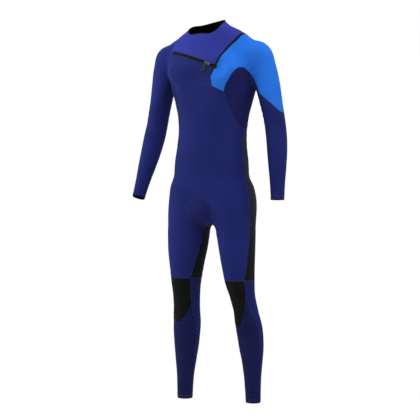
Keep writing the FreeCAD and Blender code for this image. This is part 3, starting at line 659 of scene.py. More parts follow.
OFF = "off"
RIM_HEIGHT, RIM_SLOPE_SIDE, RIM_SLOPE_FRONT, RIM_SLOPE_BACK, RIM_TURN = -0.001, 0.20, 0.52, 0.22, 0.02
THROAT_DIP, THROAT_X, THROAT_WIDTH = 0.010, 0.035, 0.030
LEFT_RISE, LEFT_RISE_FROM, LEFT_RISE_OVER = 0.008, 0.060, 0.020
RIGHT_RISE, NECK_RIGHT, NECK_TURN = 0.45, -0.060, 0.01
# a height above the sloping rim, as a share of it, is about the distance from it
RIM_SLANT = 0.88
RIM_BAND, COLLAR_DEPTH, CUFF = 0.0035, 0.030, 0.014
# hem centre and the direction down the limb
HEMS = {
    "wrist_cuff_left": ((0.280, 0.013, -0.670), (0.0520, -0.1045, -0.9932)),
    "wrist_cuff_right": ((-0.293, -0.056, -0.670), (-0.0969, -0.3746, -0.9221)),
    "ankle_cuff_left": ((0.164, 0.044, -1.472), (0, 0, -1)),
    "ankle_cuff_right": ((-0.121, 0.008, -1.472), (0, 0, -1)),
}
SIDE_OF = {"left": 1, "right": -1}
LEGS_WITHIN, ARMS_WITHIN = 0.235, 0.5
DOWN, UP, LEFT, BACK = (0, 0, -1), (0, 0, 1), (1, 0, 0), (0, 1, 0)


def above_rim(drop):
    """Inside above the collar's rim, or above a line lower by drop. The rim dips towards the throat and rises
    beside the neck."""
    def field(p):
        x, y, z = p.T
        ridge = 0.5 * (y - np.sqrt(y**2 + RIM_TURN**2)) + RIM_TURN / 2
        level = RIM_HEIGHT + RIM_SLOPE_SIDE * x + RIM_SLOPE_FRONT * ridge + RIM_SLOPE_BACK * (y - ridge)
        in_front = smoothstep((RIM_TURN - y) / (2 * RIM_TURN))
        level = level - THROAT_DIP * np.exp(-(((x - THROAT_X) / THROAT_WIDTH) ** 2)) * in_front
        level = level + LEFT_RISE * smoothstep((x - LEFT_RISE_FROM) / LEFT_RISE_OVER) * in_front
        past_neck = NECK_RIGHT - x
        level = level + RIGHT_RISE * (past_neck + np.sqrt(past_neck**2 + NECK_TURN**2))
        return (level - drop - z) * RIM_SLANT
    return field


cloth.divide("suit", above_rim(0), OFF, soft=False)
for name, (centre, down) in HEMS.items():
    side = SIDE_OF[name.rsplit("_", 1)[1]]
    inner, outer = (LEGS_WITHIN, ARMS_WITHIN) if name.startswith("wrist") else (0.0, LEGS_WITHIN)
    place = both(beyond((side * inner, 0, 0), (side, 0, 0)), beyond((side * outer, 0, 0), (-side, 0, 0)))
    edge = np.array(centre) + CUFF * unit(down)
    cloth.divide("suit", both(place, beyond(edge, down)), OFF, soft=False)
    cloth.divide("suit", both(place, beyond(centre, down)), name)

SHOULDERS = {
    "left": in_front_view(BOUND_EDGE, BOUND_EDGE_LOW, LEFT_ARCH, LEFT_SLEEVE_EDGE, (330, TOP), (158, TOP)),
    "right": in_front_view(RIGHT_RAGLAN, RIGHT_ARCH, RIGHT_SLEEVE_EDGE, (-330, TOP), (-112, TOP)),
}
for name, shoulder in SHOULDERS.items():
    arm = in_front_view(*[(SIDE_OF[name] * x, z) for x, z in ARM_LINE])
    cloth.divide("suit", arm, f"arm_{name}")
    cloth.divide(f"arm_{name}", shoulder, f"shoulder_panel_{name}", f"sleeve_{name}")
    cloth.divide("suit", shoulder, f"shoulder_panel_{name}")

on_left = beyond((0, 0, 0), LEFT)
cloth.divide("suit", in_side_view(REAR_SEAM, (REACH, KNEE), (REACH, WAIST)), "rear")
cloth.divide("rear", on_left, "rear_leg_panel_left", "rear_leg_panel_right")
cloth.divide("suit", beyond((0, 0, KNEE * MM), DOWN), "legs")
cloth.divide("legs", on_left, "leg_left", "leg_right")
PAST_KNEE, PAST_HEM = 20, 40
for name, seam, pad in (("left", CALF_SEAM_LEFT, KNEE_PAD_LEFT), ("right", CALF_SEAM_RIGHT, KNEE_PAD_RIGHT)):
    low, high = seam[-1][1] - PAST_HEM, KNEE + PAST_KNEE
    calf = in_side_view(seam, (seam[-1][0], low), (REACH, low), (REACH, high), (seam[0][0], high))
    cloth.divide(f"leg_{name}", calf, f"calf_panel_{name}", f"shin_{name}")
    cloth.divide(f"shin_{name}", in_front_view(pad), f"knee_pad_{name}", f"shin_panel_{name}")
cloth.divide("suit", in_front_view(GUSSET), "crotch_gusset")
left_side = in_front_view(LEFT_SIDE_SEAM, (300, WAIST), (300, -150), (102, -150))
right_side = in_front_view(RIGHT_SIDE_SEAM, (-300, WAIST), (-300, -165), (-155, -170), (-128, -213))
cloth.divide("suit", left_side, "side_panel_left")
cloth.divide("suit", right_side, "side_panel_right")

NECK_X, NECK_Y, NECK_HALF, NECK_FRONT, NECK_REAR, NECK_MEAN = 0.002, -0.014, 0.092, 0.082, 0.072, 0.085


def neck_column(p):
    depth = np.where(p[:, 1] < NECK_Y, NECK_FRONT, NECK_REAR)
    rho = np.hypot((p[:, 0] - NECK_X) / NECK_HALF, (p[:, 1] - NECK_Y) / depth)
    return (rho - 1) * NECK_MEAN


cloth.divide("suit", both(neck_column, above_rim(COLLAR_DEPTH)), "collar")
cloth.divide("collar", above_rim(RIM_BAND), "neck_binding")
behind = both(beyond((0, UPPER_BACK * MM, 0), BACK), beyond((0, 0, WAIST * MM), UP))
cloth.divide("suit", behind, "upper_back_panel")

ZIP_HALF, ZIP_END, CHANNEL_DEPTH = 0.0058, 21.0, 0.030


def zip_channel(p):
    radius, angle, across = to_zip(p)
    past_end = np.radians(np.abs(angle) - ZIP_END) * ZIP_RADIUS
    return np.maximum.reduce([np.abs(across) - ZIP_HALF, past_end, ZIP_RADIUS - CHANNEL_DEPTH - radius])


cloth.divide("suit", zip_channel, OFF, soft=False)
cloth.divide("suit", in_front_view(ZIP_LINE, (250, TOP), (-175, TOP)), "chest_yoke")
cloth.divide("suit", in_front_view(UNDER_CHEST, (250, -100), (-250, -100)), "chest_panel", "front_panel")
inner_edge, outer_edge = offset_seam(BOUND_EDGE, BINDING_WIDTH), offset_seam(BOUND_EDGE, BINDING_REACH)
cloth.divide("chest_yoke", in_front_view(outer_edge, inner_edge[::-1]), "yoke_binding")

# ---- Relief of the cloth: stitched grooves, raised pads and bindings, rounded free edges ----
THICKNESS, GROOVE, GLUED_GROOVE, FREE_ROUND = 0.003, 0.0005, 0.000125, 0.0008
RAISED = {"knee_pad_left": 0.0012, "knee_pad_right": 0.0012, "yoke_binding": 0.0014, "neck_binding": 0.0008}

kept = cloth.label != cloth.name_id(OFF)
removed_points = np.zeros(len(cloth.points), bool)
removed_points[np.unique(cloth.triangles[~kept])] = True
cloth.triangles, cloth.label = cloth.triangles[kept], cloth.label[kept]
normals = cloth.normals()
lowest = np.full(len(cloth.points), 10**6)
highest = np.full(len(cloth.points), -1)
for k in range(3):
    np.minimum.at(lowest, cloth.triangles[:, k], cloth.label)
    np.maximum.at(highest, cloth.triangles[:, k], cloth.label)
between = lowest != highest
free = removed_points & (highest >= 0)
lift = np.zeros(len(cloth.points))
for name, height in RAISED.items():
    mine = np.zeros(len(cloth.points), bool)
    mine[np.unique(cloth.triangles[cloth.label == cloth.name_id(name)])] = True
    lift[mine & ~between & ~free] = height
lift[between & ~free] = -GROOVE
# Glued seams that hardly show, as the collar's and the right shoulder's.
ROUND_COLLAR = ["chest_yoke", "shoulder_panel_left", "shoulder_panel_right", "upper_back_panel"]
ROUND_COLLAR += ["yoke_binding", "neck_binding"]
GLUED = [{"collar", name} for name in ROUND_COLLAR] + [{"chest_yoke", "shoulder_panel_right"}]
for first, second in [sorted(cloth.name_id(name) for name in pair) for pair in GLUED]:
    lift[(lowest == first) & (highest == second)] = -GLUED_GROOVE
rest = cloth.points.copy()
cloth.points = cloth.points + normals * lift[:, None]


def mesh_object(name, vertices, faces, materials, slots):
    mesh = bpy.data.meshes.new(name)
    mesh.from_pydata([tuple(v) for v in vertices], [], [tuple(int(i) for i in f) for f in faces])
    for material in materials:
        mesh.materials.append(material)
    mesh.polygons.foreach_set("material_index", np.asarray(slots, np.int32))
    mesh.polygons.foreach_set("use_smooth", np.ones(len(mesh.polygons), bool))
    mesh.update()
    obj = bpy.data.objects.new(name, mesh)
    bpy.context.scene.collection.objects.link(obj)
    return obj


def panel_object(panel, outer_material, inner_material):
    """A closed piece of neoprene: its outer face, its inner face and the walls along its edges."""
    triangles = cloth.triangles[cloth.label == cloth.name_id(panel)]
    used, local = np.unique(triangles, return_inverse=True)
    triangles = local.reshape(-1, 3)
    edge_round = np.where(free[used], FREE_ROUND, 0)[:, None]
    outer = cloth.points[used] - normals[used] * edge_round
    inner = cloth.points[used] - normals[used] * (THICKNESS - edge_round)
    count = len(used)
    directed = side_pairs(triangles)
    keys = directed[:, 0].astype(np.int64) * count + directed[:, 1]
    back_keys = directed[:, 1].astype(np.int64) * count + directed[:, 0]
    border = directed[~np.isin(keys, back_keys)]
    walls = np.column_stack([border[:, 1], border[:, 0], border[:, 0] + count, border[:, 1] + count])
    faces = list(triangles) + list(triangles[:, ::-1] + count) + list(walls)
    slots = np.concatenate([np.zeros(len(triangles)), np.ones(len(triangles) + len(walls))]).astype(int)
    obj = mesh_object(
        f"{panel}_cloth", np.concatenate([outer, inner]), faces, (outer_material, inner_material), slots
    )
    # where each point lies at rest, which the materials' patterns follow
    place = obj.data.attributes.new("place", "FLOAT_VECTOR", "POINT")
    place.data.foreach_set("vector", np.tile(rest[used], (2, 1)).astype(np.float32).ravel())
    sharp = {tuple(sorted(e)) for e in border} | {tuple(sorted(e + count)) for e in border}
    flags = [tuple(sorted(edge.vertices)) in sharp for edge in obj.data.edges]
    obj.data.attributes.new("sharp_edge", "BOOLEAN", "EDGE").data.foreach_set("value", flags)
    return obj


# ---- Materials ----
def linear(screen):
    """The linear values of a colour written as it looks on screen."""
    channels = [int(screen[k:k + 2], 16) / 255 for k in (0, 2, 4)]
    return tuple(c / 12.92 if c <= 0.04045 else ((c + 0.055) / 1.055) ** 2.4 for c in channels) + (1,)


def scaled(colour, factor):
    return tuple(min(c * factor, 1) for c in colour[:3]) + (1,)


def shade_node(tree, kind, inputs=None, **settings):
    made = tree.nodes.new(kind)
    for key, value in settings.items():
        setattr(made, key, value)
    for key, value in (inputs or {}).items():
        made.inputs[key].default_value = value
    return made


# the third value is how much painted shade falls in the grain's hollows
SHEEN_ROUGHNESS, SHEEN_TINT, HOLLOW_SHADE = 0.45, 3.0, 0.35


def colour_ramp(tree, low, high, span=(0.0, 1.0)):
    ramp = shade_node(tree, "ShaderNodeValToRGB")
    for element, colour, position in zip(ramp.color_ramp.elements, (low, high), span):
        element.position = position
        element.color = colour
    return ramp


def material_of(
    name, screen, roughness, specular, cloud_scale, cloud_range, grain, sheen=0.0, knit=False, sheen_fades_to=None,
    fade=None,
):
    """Colour that drifts softly over the piece, with a knit's loops or a woven or moulded grain in relief.
    The grain is its size and its height; painted shade darkens its hollows. The colour can fade to a second
    one between two heights: painted sheen."""
    material = bpy.data.materials.new(name)
    material.use_nodes = True
    tree = material.node_tree
    shader = tree.nodes["Principled BSDF"]
    link = tree.links.new
    colour = linear(screen)
    for key, value in (
        ("Roughness", roughness), ("Specular IOR Level", specular), ("Sheen Weight", sheen),
        ("Sheen Roughness", SHEEN_ROUGHNESS), ("Sheen Tint", scaled(colour, SHEEN_TINT)),
    ):
        shader.inputs[key].default_value = value
    if knit:
        place = shade_node(tree, "ShaderNodeAttribute", attribute_name="place").outputs["Vector"]
    else:
        place = shade_node(tree, "ShaderNodeTexCoord").outputs["Object"]
    cloud = shade_node(tree, "ShaderNodeTexNoise", {"Scale": cloud_scale, "Detail": 3.0, "Roughness": 0.55})
    link(place, cloud.inputs["Vector"])
    ramp = colour_ramp(tree, scaled(colour, cloud_range[0]), scaled(colour, cloud_range[1]), (0.3, 0.7))
    link(cloud.outputs["Fac"], ramp.inputs["Fac"])
    tone = ramp.outputs["Color"]
    # Painted sheen: the base colour holds light glancing off the upper part and fades to the colour below
    # between two heights.
    if sheen_fades_to:
        height_of = shade_node(tree, "ShaderNodeSeparateXYZ")
        heights = {"From Min": fade[0], "From Max": fade[1]}
        share = shade_node(tree, "ShaderNodeMapRange", heights, interpolation_type="SMOOTHSTEP")
        painted_sheen_blend = shade_node(tree, "ShaderNodeMix", {7: linear(sheen_fades_to)}, data_type="RGBA")
        link(place, height_of.inputs["Vector"])
        link(height_of.outputs["Z"], share.inputs["Value"])
        link(share.outputs["Result"], painted_sheen_blend.inputs["Factor"])
        link(tone, painted_sheen_blend.inputs[6])
        tone = painted_sheen_blend.outputs[2]
    loops = shade_node(tree, "ShaderNodeTexVoronoi", {"Scale": 1 / grain[0], "Randomness": 0.35})
    stretch = shade_node(tree, "ShaderNodeMapping", {"Scale": (1.0, 1.0, 0.7) if knit else (1.0, 1.0, 1.0)})
    link(place, stretch.inputs["Vector"])
    link(stretch.outputs["Vector"], loops.inputs["Vector"])
    bump = shade_node(tree, "ShaderNodeBump", {"Strength": 0.5, "Distance": grain[1]})
    bump.invert = True
    link(loops.outputs["Distance"], bump.inputs["Height"])
    link(bump.outputs["Normal"], shader.inputs["Normal"])
    # Painted shade in the grain's hollows and a little painted light on its tops: the colour follows the
    # bump's relief.
    hollow_shaded = shade_node(
        tree, "ShaderNodeMix", {"Factor": HOLLOW_SHADE}, data_type="RGBA", blend_type="MULTIPLY"
    )
    hollow_shade_ramp = colour_ramp(tree, (1.1, 1.1, 1.1, 1), (0.55, 0.55, 0.55, 1))
    link(loops.outputs["Distance"], hollow_shade_ramp.inputs["Fac"])
    link(tone, hollow_shaded.inputs[6])
    link(hollow_shade_ramp.outputs["Color"], hollow_shaded.inputs[7])
    link(hollow_shaded.outputs[2], shader.inputs["Base Color"])
    return material


def jersey(name, screen, cloud_range=(0.88, 1.14), sheen=0.12, specular=0.06, sheen_fades_to=None, fade=None):
    return material_of(
        name, screen, 0.85, specular, 7.0, cloud_range, (0.0011, 0.00018), sheen, True, sheen_fades_to, fade
    )


fabric = {name: jersey(name, screen) for name, screen in (
    # yoke_jersey is lighter than the navy by painted light: light from above falling on the upward-facing
    # yoke.
    ("yoke_jersey", "282f80"), ("navy_jersey", "181f58"), ("shoulder_jersey", "1c2362"),
    # The shin and calf jerseys are darker copies of the navy: painted shade on the lower legs.
    ("deep_jersey", "181f56"), ("shaded_shin_jersey", "12163e"), ("shaded_calf_jersey", "151b4f"),
    ("gusset_jersey", "151a4e"), ("bright_jersey", "2061bf"), ("side_jersey", "17184a"),
    ("hem_jersey", "15183a"),
)}
# The purple-grey at the hip is painted sheen from light glancing off it; by the inner thigh it fades to the
# panel's own near-black.
fabric["charcoal_jersey"] = jersey(
    "charcoal_jersey", "27263a", (0.85, 1.15), sheen_fades_to="0e1012", fade=(-0.50, -0.95)
)
fabric["knee_fabric"] = material_of(
    "knee_fabric", "0a0d0d", 0.8, 0.06, 30.0, (0.85, 1.2), (0.0022, 0.0004), knit=True
)
lining = fabric["lining"] = jersey("lining", "050607", sheen=0.0, specular=0.02)
# colour, roughness, shine, size and strength of the colour's drift, size and height of the grain
GRAINED = {
    "binding": ("0b0e0d", 0.7, 0.08, 40.0, (0.85, 1.2), (0.0008, 0.00015)),
    "thread": ("4d58a0", 0.6, 0.2, 60.0, (0.85, 1.15), (0.0004, 0.0001)),
    "olive_thread": ("2c3f38", 0.6, 0.2, 60.0, (0.85, 1.15), (0.0004, 0.0001)),
    "zip_tape": ("060709", 0.8, 0.05, 60.0, (0.85, 1.2), (0.0006, 0.00015)),
    "piping": ("2c3028", 0.6, 0.1, 60.0, (0.85, 1.15), (0.0005, 0.0001)),
    "zip_plastic": ("0b0c0e", 0.5, 0.12, 90.0, (0.9, 1.1), (0.0003, 0.00003)),
    "slider_plastic": ("46434f", 0.45, 0.25, 120.0, (0.85, 1.15), (0.0003, 0.00003)),
    "tab_rubber": ("1f2824", 0.75, 0.12, 120.0, (0.85, 1.15), (0.0004, 0.00006)),
}
for name, look in GRAINED.items():
    fabric[name] = material_of(name, *look)

# ---- Panels: outer fabric, colour slot, flat width and length and flat area of the cut ----
PANELS = {
    "sleeve_left": ("deep_jersey", "navy_jersey", 0.30, 0.50, 0.0912),
    "sleeve_right": ("deep_jersey", "navy_jersey", 0.30, 0.50, 0.0948),
    "shoulder_panel_left": ("bright_jersey", "bright_jersey", 0.36, 0.36, 0.0832),
    "shoulder_panel_right": ("shoulder_jersey", "navy_jersey", 0.32, 0.34, 0.0641),
    "rear_leg_panel_left": ("charcoal_jersey", "charcoal_jersey", 0.33, 0.60, 0.1551),
    "rear_leg_panel_right": ("charcoal_jersey", "charcoal_jersey", 0.33, 0.60, 0.1555),
    # The calf and shin panels take darker copies of the navy: painted shade on the lower legs.
    "calf_panel_left": ("shaded_calf_jersey", "navy_jersey", 0.24, 0.48, 0.0843),
    "calf_panel_right": ("shaded_calf_jersey", "navy_jersey", 0.24, 0.48, 0.0885),
    "knee_pad_left": ("knee_fabric", "knee_fabric", 0.105, 0.19, 0.0120),
    "knee_pad_right": ("knee_fabric", "knee_fabric", 0.11, 0.19, 0.0141),
    "shin_panel_left": ("shaded_shin_jersey", "navy_jersey", 0.14, 0.42, 0.0365),
    "shin_panel_right": ("shaded_shin_jersey", "navy_jersey", 0.14, 0.42, 0.0359),
    "crotch_gusset": ("gusset_jersey", "deep_jersey", 0.125, 0.16, 0.0166),
    "side_panel_left": ("side_jersey", "deep_jersey", 0.25, 0.235, 0.0419),
    "side_panel_right": ("side_jersey", "deep_jersey", 0.24, 0.22, 0.0360),
    "upper_back_panel": ("navy_jersey", "navy_jersey", 0.34, 0.42, 0.1112),
    "chest_panel": ("navy_jersey", "navy_jersey", 0.115, 0.30, 0.0190),
    "front_panel": ("navy_jersey", "navy_jersey", 0.42, 0.78, 0.2348),
    "collar": ("yoke_jersey", "yoke_jersey", 0.045, 0.50, 0.0125),
    "neck_binding": ("binding", "binding", 0.010, 0.47, 0.0027),
    "wrist_cuff_left": ("deep_jersey", "navy_jersey", 0.014, 0.165, 0.0021),
    "wrist_cuff_right": ("deep_jersey", "navy_jersey", 0.014, 0.165, 0.0021),
    "ankle_cuff_left": ("hem_jersey", "navy_jersey", 0.014, 0.195, 0.0026),
    "ankle_cuff_right": ("hem_jersey", "navy_jersey", 0.014, 0.195, 0.0026),
}


def stands_for(piece, body, nodes, colour_slot):
    """Puts a piece on its body in place of CAD nodes. Without a body it is baked where it stands."""
    if body:
        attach(piece, body)
    else:
        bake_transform(piece)
        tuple(BEND_START)
        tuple(BEND_END)
    if nodes:
        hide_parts(*nodes)


for name, (outer_fabric, colour_slot, width, length, area) in PANELS.items():
    piece = panel_object(name, fabric[outer_fabric], lining)
    stands_for(piece, "suit", [name], colour_slot)

# ---- The line across the yoke that the entry flap folds out about, and the yoke and its binding baked in place ----
FOLD_FROM = np.array((-0.02749, -0.09478, -0.12196))
FOLD_ALONG = unit((0.95062, 0.19958, 0.23766))
FOLD_MIDDLE, BEND_ABOVE, BEND_BELOW = 0.070, 0.002, 0.010
fold_down = np.cross(FOLD_ALONG, unit(CHEST_NORMAL))
fold_down = unit(fold_down * -np.sign(fold_down[2]))
fold_middle = FOLD_FROM + FOLD_ALONG * FOLD_MIDDLE
BEND_START, BEND_END = fold_middle - fold_down * BEND_ABOVE, fold_middle + fold_down * BEND_BELOW

yoke = panel_object("chest_yoke", fabric["yoke_jersey"], lining)
stands_for(yoke, None, ["chest_yoke", "entry_flap"], "yoke_jersey")
edge_binding = panel_object("yoke_binding", fabric["binding"], fabric["binding"])
stands_for(edge_binding, None, ["yoke_binding", "flap_binding"], "binding")


# ---- Seams: a zigzag of thread over each stitched groove ----
def ring_faces(rings, count, closed=False):
    """Faces between rings of count points each. An open run of rings gets a cap at each end."""
    faces = []
    for i in range(rings if closed else rings - 1):
        here, there = i * count, (i + 1) % rings * count
        for j in range(count):
            k = (j + 1) % count
            faces.append((here + j, here + k, there + k, there + j))
    if not closed:
        faces.append(tuple(reversed(range(count))))
        faces.append(tuple(range((rings - 1) * count, rings * count)))
    return faces


class Pile:
    """Closed pieces gathered into one mesh."""

    def __init__(self):
        self.vertices, self.faces, self.slots, self.count = [], [], [], 0

    def add(self, shape, place=None, slot=0):
        vertices, faces = shape
        vertices = place.out(vertices) if place else np.asarray(vertices, float)
        self.vertices.append(vertices)
        self.faces += [tuple(int(i) + self.count for i in face) for face in faces]
        self.slots += [slot] * len(faces)
        self.count += len(vertices)

    def build(self, name, materials, crease=None):
        materials = [fabric[material] for material in materials]
        obj = mesh_object(name, np.concatenate(self.vertices), self.faces, materials, self.slots)
        edit = bmesh.new()
        edit.from_mesh(obj.data)
        bmesh.ops.recalc_face_normals(edit, faces=edit.faces)
        edit.to_mesh(obj.data)
        edit.free()
        if crease:
            obj.data.set_sharp_from_angle(angle=math.radians(crease))
        return obj


def seam_chains():
    """Lines of points between each two panels, as {(first panel, second panel): [indices, ...]}."""
    owner = {}
    for label, triangle in zip(cloth.label.tolist(), cloth.triangles.tolist()):
        for k in range(3):
            owner.setdefault(tuple(sorted((triangle[k], triangle[(k + 1) % 3]))), []).append(label)
    neighbours = {}
    for edge, labels in owner.items():
        if len(labels) == 2 and labels[0] != labels[1]:
            graph = neighbours.setdefault(tuple(sorted(labels)), {})
            graph.setdefault(edge[0], []).append(edge[1])
            graph.setdefault(edge[1], []).append(edge[0])
    chains = {}
    for pair, graph in neighbours.items():
        left = {node: list(others) for node, others in graph.items()}
        starts = [node for node, others in graph.items() if len(others) != 2] + list(graph)
        for start in starts:
            while left[start]:
                chain = [start]
                while left[chain[-1]]:
                    following = left[chain[-1]].pop()
                    left[following].remove(chain[-1])
                    chain.append(following)
                if len(chain) > 3:
                    chains.setdefault(pair, []).append(chain)
    return chains


STITCH, STITCH_SIDE, THREAD = 0.0021, 0.0016, 0.00036


def add_stitches(pile, chain):
    line, up = rest[chain], normals[chain]
    for _ in range(4):
        middle = (line[:-2] + line[2:]) / 2
        line[1:-1] = line[1:-1] * 0.5 + middle * 0.5
    gaps = np.linalg.norm(np.diff(line, axis=0), axis=1)
    run = np.concatenate([[0], np.cumsum(gaps)])
    count = max(int(run[-1] / STITCH), 2)
    marks = np.linspace(0, run[-1], count + 1)
    line, up = [np.stack([np.interp(marks, run, column) for column in rows.T], 1) for rows in (line, up)]
    up = unit_rows(up)
    along = unit_rows(np.gradient(line, axis=0))
    aside = unit_rows(np.cross(along, up))
    swing = np.where(np.arange(count + 1) % 2, STITCH_SIDE, -STITCH_SIDE)[:, None]
    line = line + aside * swing
    ring = [up * THREAD, along * THREAD, -up * THREAD, -along * THREAD]
    vertices = np.stack([line + side for side in ring], 1).reshape(-1, 3)
    pile.add((vertices, ring_faces(count + 1, 4)))


seams, edge_seams, binding_seam = Pile(), Pile(), Pile()
chains = seam_chains()
YOKE, BOUND, BRIGHT = [cloth.name_id(name) for name in ("chest_yoke", "yoke_binding", "shoulder_panel_left")]
for pair, lines in chains.items():
    for chain in lines:
        if set(pair) == {YOKE, BOUND}:
            add_stitches(binding_seam, chain)
        elif BOUND in pair or {cloth.names[label] for label in pair} in GLUED:
            continue
        elif BRIGHT in pair:
            add_stitches(edge_seams, chain)
        else:
            add_stitches(seams, chain)
stands_for(seams.build("seam_thread", ["thread"]), "suit", [], "deep_jersey")
stands_for(edge_seams.build("shoulder_thread", ["olive_thread"]), "suit", [], "binding")
stands_for(binding_seam.build("binding_thread", ["thread"]), None, [], "binding")


# ---- The chest zip ----
def swept(angles, profile):
    """A closed profile of (radius, across) points carried along the zip's arc."""
    profile = np.array(profile, float)
    vertices = np.concatenate([from_zip(profile[:, 0], angle, profile[:, 1]) for angle in angles])
    return vertices, ring_faces(len(angles), len(profile))


def strip(low_radius, high_radius, low, high):
    return [(low_radius, low), (low_radius, high), (high_radius, high), (high_radius, low)]


def bead(radius, across, size, count=10):
    turns = [2 * math.pi * i / count for i in range(count)]
    return [(radius + size * math.cos(turn), across + size * math.sin(turn)) for turn in turns]


def rounded_block(low, high, edge, segments=2):
    """A block with rounded edges between two corners."""
    edit = bmesh.new()
    bmesh.ops.create_cube(edit, size=1)
    middle, span = (np.array(low) + high) / 2, np.array(high) - low
    for v in edit.verts:
        v.co = Vector(middle + np.array(v.co) * span)
    bmesh.ops.bevel(edit, geom=list(edit.edges), offset=edge, segments=segments, affect="EDGES", profile=0.5)
    edit.verts.index_update()
    vertices = np.array([v.co[:] for v in edit.verts])
    faces = [[v.index for v in face.verts] for face in edit.faces]
    edit.free()
    return vertices, faces


def turned(profile, segments=28):
    """A closed profile of (radius, height) points turned round the local Z axis."""
    profile = np.array(profile, float)
    turns = np.arange(segments) * 2 * math.pi / segments
    radius, height = profile.T
    rings = [np.column_stack([radius * math.cos(t), radius * math.sin(t), height]) for t in turns]
    vertices = np.concatenate(rings)
    return vertices, ring_faces(segments, len(profile), closed=True)


def ring_profile(inside, outside, low, high, edge):
    return [
        (inside, low), (outside - edge, low), (outside, low + edge), (outside, high - edge),
        (outside - edge, high), (inside, high),
    ]


class Place:
    """Local axes: x, y and z directions from an origin."""

    def __init__(self, origin, x, y, z):
        self.origin, self.axes = np.array(origin), np.array([x, y, z])

    def out(self, vertices):
        return self.origin + np.asarray(vertices) @ self.axes


def at_zip(angle):
    turn = math.radians(angle)
    out = OUTWARD * math.cos(turn) + ALONG * math.sin(turn)
    return Place(ARC_CENTRE, out, np.cross(UPWARD, out), UPWARD)


TAPE_END, TAPE_DEPTH, TAPE_THICKNESS = 20.6, 0.0020, 0.0012
TOOTH_PITCH, TOOTH_LENGTH, TOOTH_THICKNESS, TOOTH_GAP, TOOTH_EDGE = 0.0026, 0.0016, 0.0030, 0.0008, 0.0036
TAPE_IN = ZIP_RADIUS - TAPE_DEPTH - TAPE_THICKNESS / 2
TAPE_OUT = TAPE_IN + TAPE_THICKNESS
TAPE_NEAR, TAPE_FAR, CORD_AT, CORD, PIPING = 0.0012, ZIP_HALF + 0.0022, 0.0044, 0.0004, 0.0006
HEAD_HALF, HEAD_LENGTH, HEAD_BACK, HEAD_TIP = 0.0010, 0.0011, 0.0012, 0.0006
full_length = np.linspace(-TAPE_END, TAPE_END, 90)


def across(side, near, far):
    """Two distances across the zip on one of its sides, the lower one first."""
    return sorted((side * near, side * far))


def tape(name, side):
    pile = Pile()
    low, high = across(side, TAPE_NEAR, TAPE_FAR)
    pile.add(swept(full_length, strip(TAPE_IN, TAPE_OUT, low, high)))
    pile.add(swept(full_length, bead(TAPE_OUT, side * CORD_AT, CORD)))
    pile.add(swept(full_length, bead(ZIP_RADIUS - 0.0001, side * (ZIP_HALF - 0.0001), PIPING)), slot=1)
    return pile.build(name, ["zip_tape", "piping"], crease=40)


def tooth_part(side, half_thickness, half_length, near, far, edge):
    middle = ZIP_RADIUS - TAPE_DEPTH
    low, high = across(side, near, far)
    return rounded_block(
        (middle - half_thickness, -half_length, low), (middle + half_thickness, half_length, high), edge, 1
    )


def teeth(name, side):
    """A row of moulded teeth, each a foot on the tape and a narrower head that meshes with the other row."""
    pile = Pile()
    step = math.degrees(TOOTH_PITCH / ZIP_RADIUS)
    start = -TAPE_END + step * (0.5 if side < 0 else 1.0)
    foot = tooth_part(side, TOOTH_THICKNESS / 2, TOOTH_LENGTH / 2, TOOTH_GAP, TOOTH_EDGE, 0.0003)
    head = tooth_part(side, HEAD_HALF, HEAD_LENGTH / 2, -HEAD_TIP, HEAD_BACK, 0.0002)
    for angle in np.arange(start, TAPE_END - step / 2, step):
        pile.add(foot, at_zip(angle))
        pile.add(head, at_zip(angle))
    return pile.build(name, ["zip_plastic"], crease=40)


for row, side, body in (("lower", -1, "suit"), ("upper", 1, None)):
    woven, moulded = tape(f"zip_tape_{row}_woven", side), teeth(f"zip_teeth_{row}_moulded", side)
    for piece, kind, colour_slot in ((woven, "zip_tape", "zip_tape"), (moulded, "zip_teeth", "zip_plastic")):
        on_flap = [] if body else [f"flap_{kind}"]
        stands_for(piece, body, [f"{kind}_{row}"] + on_flap, colour_slot)

# ---- Storm flap behind the zip, its lower edge turned up to the chest panel ----
STORM_END, STORM_HALF, STORM_IN, STORM_OUT, STORM_EDGE = 19.0, 0.020, 0.0115, 0.010, 0.0032
inner_face, outer_face, edge_face = ZIP_RADIUS - STORM_IN, ZIP_RADIUS - STORM_OUT, ZIP_RADIUS - STORM_EDGE
storm_profile = [
    (inner_face, STORM_HALF), (inner_face, -STORM_HALF + 0.002), (inner_face + 0.001, -STORM_HALF + 0.0004),
    (edge_face, -STORM_HALF), (edge_face, -STORM_HALF + 0.0015),
    (outer_face + 0.001, -STORM_HALF + 0.0018), (outer_face, -STORM_HALF + 0.003), (outer_face, STORM_HALF),
]
storm = Pile()
storm.add(swept(np.linspace(-STORM_END, STORM_END, 60), storm_profile))
storm_flap = storm.build("storm_flap_cloth", ["lining"], crease=50)
stands_for(storm_flap, "suit", ["storm_flap"], "deep_jersey")

# ---- Patches over the ends of the zip, one with a tail of tape down the shoulder panel's edge ----
front = (normals[:, 1] < -0.2) & (highest >= 0)
front_points, front_normals = rest[front], normals[front]


def on_chest(x, z):
    """The cloth's outer face at a place in the front view, and its direction outwards."""
    near = np.hypot(front_points[:, 0] - x, front_points[:, 2] - z)
    order = np.argsort(near)[:8]
    weight = 1 / (near[order] + 1e-4) ** 2
    weight /= weight.sum()
    found = weight @ front_points[order]
    up = unit(weight @ front_normals[order])
    y = found[1] - (up[0] * (x - found[0]) + up[2] * (z - found[2])) / up[1]
    return np.array((x, y, z)), up


